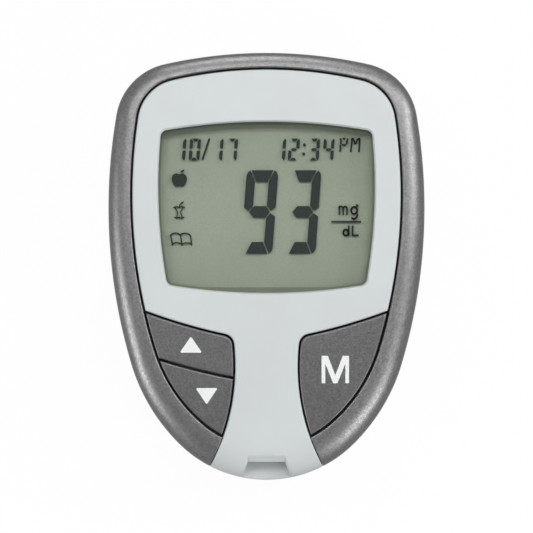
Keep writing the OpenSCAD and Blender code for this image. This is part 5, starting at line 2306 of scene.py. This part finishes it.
@dataclass
class StripContacts:
    """Five sprung blades side by side in the strip connector."""

    count: int = 5
    pitch: float = 1.2
    width: float = 0.5
    thickness: float = 0.25
    front_y: float = -33.2
    back_y: float = -24.5
    top_z: float = 17.9
    board_z: float = BOARD_Z

    def path(self) -> Loop:
        """Middle line of one blade.

        Returns:
            Its points, from the free end to the foot on the board.
        """
        half, back = self.thickness / 2, self.back_y + 0.3
        top = self.top_z - half
        bow = [(2.0, -0.05), (3.0, -0.3), (4.0, -0.65), (5.0, -0.65), (6.0, -0.25)]
        line = [(self.front_y + y, top + z) for y, z in bow]
        line += [
            (self.back_y - 2.0, top), (back - half, top), (back - half, self.board_z + half),
            (back + 1.0, self.board_z + half),
        ]
        return np.array([(0.0, y, z) for y, z in line])

    def tree(self) -> GeometryTree:
        """Builds the tree of a row of blades along a line.

        Returns:
            The finished tree.
        """
        inputs = {"Count": "Int", "Pitch": "Float", "Width": "Float", "Thickness": "Float"}
        g = GeometryTree("contact_row", {**inputs, "Metal": "Material"})
        count, pitch, width, thickness = (g.given[name] for name in inputs)
        curve = g.add("GeometryNodeMeshToCurve", {0: g.given["Geometry"]})
        section = g.add("GeometryNodeCurvePrimitiveQuadrilateral", {0: width, 1: thickness})
        blade = g.add("GeometryNodeCurveToMesh", {0: curve, 1: section, "Fill Caps": True})
        last = g.add("ShaderNodeMath", {0: count, 1: 1.0}, operation="SUBTRACT")
        reach = g.add("ShaderNodeMath", {0: last, 1: pitch}, operation="MULTIPLY")
        start = g.add("ShaderNodeMath", {0: reach, 1: -0.5}, operation="MULTIPLY")
        line = g.add("GeometryNodeMeshLine", {
            "Count": count, "Start Location": g.add("ShaderNodeCombineXYZ", {0: start}),
            "Offset": g.add("ShaderNodeCombineXYZ", {0: pitch}),
        }, mode="OFFSET")
        g.finish(g.add("GeometryNodeInstanceOnPoints", {"Points": line, "Instance": blade}), "Metal")
        return g

    def build(self, palette: Palette) -> None:
        """Makes the blades and puts them on the housing.

        Args:
            palette: The meter's materials.
        """
        piece = self.tree().run("strip_contact_row", {
            "Count": self.count, "Pitch": self.pitch, "Width": self.width,
            "Thickness": self.thickness, "Metal": palette.gold,
        }, self.path())
        seat(tidied(piece, 40), Body.HOUSING, (), ["strip_contacts"])


@dataclass
class ChipRows:
    """Rows of small soldered parts, each a body between two metal end caps."""

    board_z: float = BOARD_Z
    cap: float = 0.3
    proud: tuple[float, float, float] = (0.02, 0.04, 0.04)

    def tree(self) -> GeometryTree:
        """Builds the tree of a row of chips.

        Returns:
            The finished tree.
        """
        sizes = ("Pitch", "Length", "Width", "Height", "Cap")
        g = GeometryTree("chip_row", {
            "Count": "Int", **dict.fromkeys(sizes, "Float"), "Body Material": "Material",
            "Cap Material": "Material",
        })
        pitch, length, width, height, cap_l = (g.given[s] for s in sizes)
        size = g.add("ShaderNodeCombineXYZ", {0: length, 1: width, 2: height})
        body = g.add("GeometryNodeMeshCube", {"Size": size})
        body = g.add("GeometryNodeSetMaterial", {0: body, "Material": g.given["Body Material"]})
        wide = g.add("ShaderNodeVectorMath", {0: size, 1: (0.0, 1.0, 1.0)}, operation="MULTIPLY")
        cap_x = g.add("ShaderNodeCombineXYZ", {0: cap_l})
        cap_size = g.add("ShaderNodeVectorMath", {0: wide, 1: cap_x}, operation="ADD")
        margin = tuple(c * MM for c in self.proud)
        cap_size = g.add("ShaderNodeVectorMath", {0: cap_size, 1: margin}, operation="ADD")
        cap = g.add("GeometryNodeMeshCube", {"Size": cap_size})
        room = g.add("ShaderNodeMath", {0: length, 1: cap_l}, operation="SUBTRACT")
        ends = []
        for side in (-0.5, 0.5):
            out = g.add("ShaderNodeMath", {0: room, 1: side}, operation="MULTIPLY")
            move = g.add("ShaderNodeCombineXYZ", {0: out})
            ends.append(g.add("GeometryNodeTransform", {0: cap, "Translation": move}))
        caps = g.add("GeometryNodeJoinGeometry", {0: ends})
        caps = g.add("GeometryNodeSetMaterial", {0: caps, "Material": g.given["Cap Material"]})
        chip = g.add("GeometryNodeJoinGeometry", {0: [body, caps]})
        line = g.add("GeometryNodeMeshLine", {
            "Count": g.given["Count"], "Offset": g.add("ShaderNodeCombineXYZ", {0: pitch}),
        }, mode="OFFSET")
        row = g.add("GeometryNodeInstanceOnPoints", {"Points": line, "Instance": chip})
        g.finish(g.add("GeometryNodeInstanceOnPoints", {"Points": g.given["Geometry"], "Instance": row}))
        return g

    def build(self, palette: Palette) -> None:
        """Makes the capacitors and the resistors where the CAD rows lie.

        Args:
            palette: The meter's materials.
        """
        g = self.tree()
        for node, name, count, pitch, size, material in (
            ("capacitors", "capacitor_row", 5, 2.6, (1.6, 0.8, 0.7), palette.ceramic),
            ("resistors", "resistor_row", 6, 2.2, (1.2, 0.6, 0.5), palette.film),
        ):
            low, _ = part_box(node)
            first = (low.x / MM + size[0] / 2, low.y / MM + size[1] / 2, self.board_z + size[2] / 2)
            piece = g.run(name, {
                "Count": count, "Pitch": pitch, "Length": size[0], "Width": size[1], "Height": size[2],
                "Cap": self.cap, "Body Material": material, "Cap Material": palette.solder,
            }, np.array([first]))
            seat(piece, Body.HOUSING, (), [node])


@dataclass
class Electronics:
    """Board, keys' domes, connector, cells and contacts inside the case."""

    def build(self, palette: Palette) -> None:
        """Dresses the nodes that stay and makes the repeated parts.

        Args:
            palette: The meter's materials.
        """
        for node, material in {
            "circuit_board": palette.board, "key_deck": palette.deck, "up_dome": palette.steel,
            "down_dome": palette.steel, "memory_dome": palette.steel, "strip_connector": palette.black,
            "battery_plus_contacts": palette.spring, "battery_minus_contacts": palette.spring,
            "coin_cell_left": palette.can, "coin_cell_right": palette.can, "buzzer": palette.black,
            "processor_chip": palette.epoxy, "memory_chip": palette.epoxy, "crystal": palette.can,
        }.items():
            dress(node, material)
        CaseScrews().build(palette)
        StripContacts().build(palette)
        ChipRows().build(palette)


# ---- Studio -----------------------------------------------------------------------------------


@dataclass
class Studio:
    """Pale floor, soft light from all round and a long lens straight above."""

    view_width: float = 96.23
    focal: float = 1000.0
    sensor: float = 36.0
    aim_z: float = 15.0
    floor_half: float = 4000.0
    floor_z: float = -0.02
    floor_glow: float = 0.96
    clip_end: float = 50.0
    panel_away: float = 1.5
    # height over the horizon, from -1 straight down to 1 straight up, and brightness there
    bands: tuple[tuple[float, float], ...] = (
        (-1.0, 0.5), (-0.6, 0.42), (-0.3, 0.42), (0.0, 0.45), (0.3, 0.42), (0.6, 0.36), (1.0, 0.38),
    )
    panels: tuple[tuple[str, float, float, float, float, float], ...] = (
        ("key_panel", 98, 70.5, 60, 11, 3.5),
        ("top_strip", 92, 24, 18, 30, 2.9),
        ("right_panel", 18, 35, 22, 36, 3.1),
        ("low_right_strip", -40, 29, 22, 24, 3.7),
        ("low_left_strip", -160, 16, 30, 24, 3.1),
    )

    def camera(self) -> None:
        """Makes the camera."""
        data = bpy.data.cameras.new("camera")
        data.lens, data.sensor_width = self.focal, self.sensor
        data.clip_end = self.clip_end
        made = bpy.data.objects.new("camera", data)
        bpy.context.scene.collection.objects.link(made)
        away = self.view_width * self.focal / self.sensor
        made.location = (0.0, 0.0, (self.aim_z + away) * MM)
        bpy.context.scene.camera = made

    def floor(self) -> None:
        """Makes the floor: white to the eye, with the meter's faint shadow, and clear from below."""
        h, z = self.floor_half, self.floor_z
        draft = Draft()
        draft.polygon(np.array([(-h, -h, z), (h, -h, z), (h, h, z), (-h, h, z)]))
        mesh = bpy.data.meshes.new("floor")
        mesh.from_pydata([[c * MM for c in p] for p in draft.points], [], draft.faces)
        made = bpy.data.objects.new("floor", mesh)
        bpy.context.scene.collection.objects.link(made)
        material = bpy.data.materials.new("paper_white_seamless")
        material.use_nodes = True
        tree = material.node_tree
        tree.nodes.clear()
        eye = add_node(tree, "ShaderNodeLightPath", out="Is Camera Ray")
        below = add_node(tree, "ShaderNodeNewGeometry", out="Backfacing")
        paper = add_node(tree, "ShaderNodeBsdfDiffuse", {"Color": linear("#f6f6f6")})
        glow = add_node(tree, "ShaderNodeEmission", {"Color": linear("#ffffff"), "Strength": 1.0})
        share = add_node(tree, "ShaderNodeMath", {0: eye, 1: self.floor_glow}, operation="MULTIPLY")
        faint = add_node(tree, "ShaderNodeMixShader", {0: share, 1: paper, 2: glow})
        clear = add_node(tree, "ShaderNodeBsdfTransparent")
        both = add_node(tree, "ShaderNodeMixShader", {0: below, 1: faint, 2: clear})
        add_node(tree, "ShaderNodeOutputMaterial", {0: both})
        mesh.materials.append(material)
        made.visible_diffuse = False
        made.visible_glossy = False
        made.visible_shadow = False

    def world(self) -> None:
        """Makes the light tent: a nearly even glow, a little dimmer high up and brightest straight below, and
        plain white to the eye.
        """
        world = bpy.data.worlds.new("light_tent")
        bpy.context.scene.world = world
        world.use_nodes = True
        tree = world.node_tree
        tree.nodes.clear()
        place = add_node(tree, "ShaderNodeTexCoord", out="Generated")
        height = add_node(tree, "ShaderNodeSeparateXYZ", {0: place}, 2)
        level = add_node(tree, "ShaderNodeMapRange", {0: height, 1: -1.0, 2: 1.0})
        ramp = add_node(tree, "ShaderNodeValToRGB", {0: level})
        elements = ramp.node.color_ramp.elements
        while len(elements) < len(self.bands):
            elements.new(0.5)
        for element, (z, strength) in zip(elements, self.bands):
            element.position = (z + 1) / 2
            element.color = (strength, strength, strength, 1.0)
        back = add_node(tree, "ShaderNodeBackground", {0: ramp, 1: 1.0})
        eye = add_node(tree, "ShaderNodeLightPath", out="Is Camera Ray")
        white = add_node(tree, "ShaderNodeBackground", {0: linear("#ffffff"), 1: 1.0})
        both = add_node(tree, "ShaderNodeMixShader", {0: eye, 1: back, 2: white})
        add_node(tree, "ShaderNodeOutputWorld", {0: both})

    def panel(
        self, name: str, azimuth: float, elevation: float, width: float, height: float, radiance: float
    ) -> None:
        """Makes one soft panel.

        Args:
            name: Name of the lamp.
            azimuth: Direction in degrees, from +X towards +Y.
            elevation: Height in degrees over the floor.
            width: Width in degrees, as the meter sees it.
            height: Height in degrees.
            radiance: How bright its face is, where 1 is a white that is plainly lit.
        """
        data = bpy.data.lights.new(name, "AREA")
        data.shape = "RECTANGLE"
        spans = (2 * self.panel_away * math.tan(math.radians(a / 2)) for a in (width, height))
        data.size, data.size_y = spans
        data.energy = 4 * radiance * data.size * data.size_y
        made = bpy.data.objects.new(name, data)
        bpy.context.scene.collection.objects.link(made)
        flat_way, rise = facing(azimuth), facing(elevation)
        made.location = self.panel_away * Vector((flat_way[0] * rise[0], flat_way[1] * rise[0], rise[1]))
        made.rotation_euler = (-made.location).to_track_quat("-Z", "Y").to_euler()
        made.visible_camera = False

    def build(self) -> None:
        """Sets up the studio."""
        bpy.context.scene.view_settings.view_transform = "Standard"
        self.camera()
        self.floor()
        self.world()
        for panel in self.panels:
            self.panel(*panel)


def main() -> None:
    """Builds the meter and its studio."""
    logging.basicConfig(level=logging.INFO, format="%(name)s: %(message)s")
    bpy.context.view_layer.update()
    studio = Studio()
    studio.build()
    palette = Palette()
    shape, window = MeterShape(), WindowShape()
    FrontCase(shape, window).build(palette)
    SideTrim(shape).build(palette)
    Keypad(shape).build(palette)
    Display(window).build(palette)
    RearShell().build(palette)
    Electronics().build(palette)


if __name__ == "__main__":
    main()
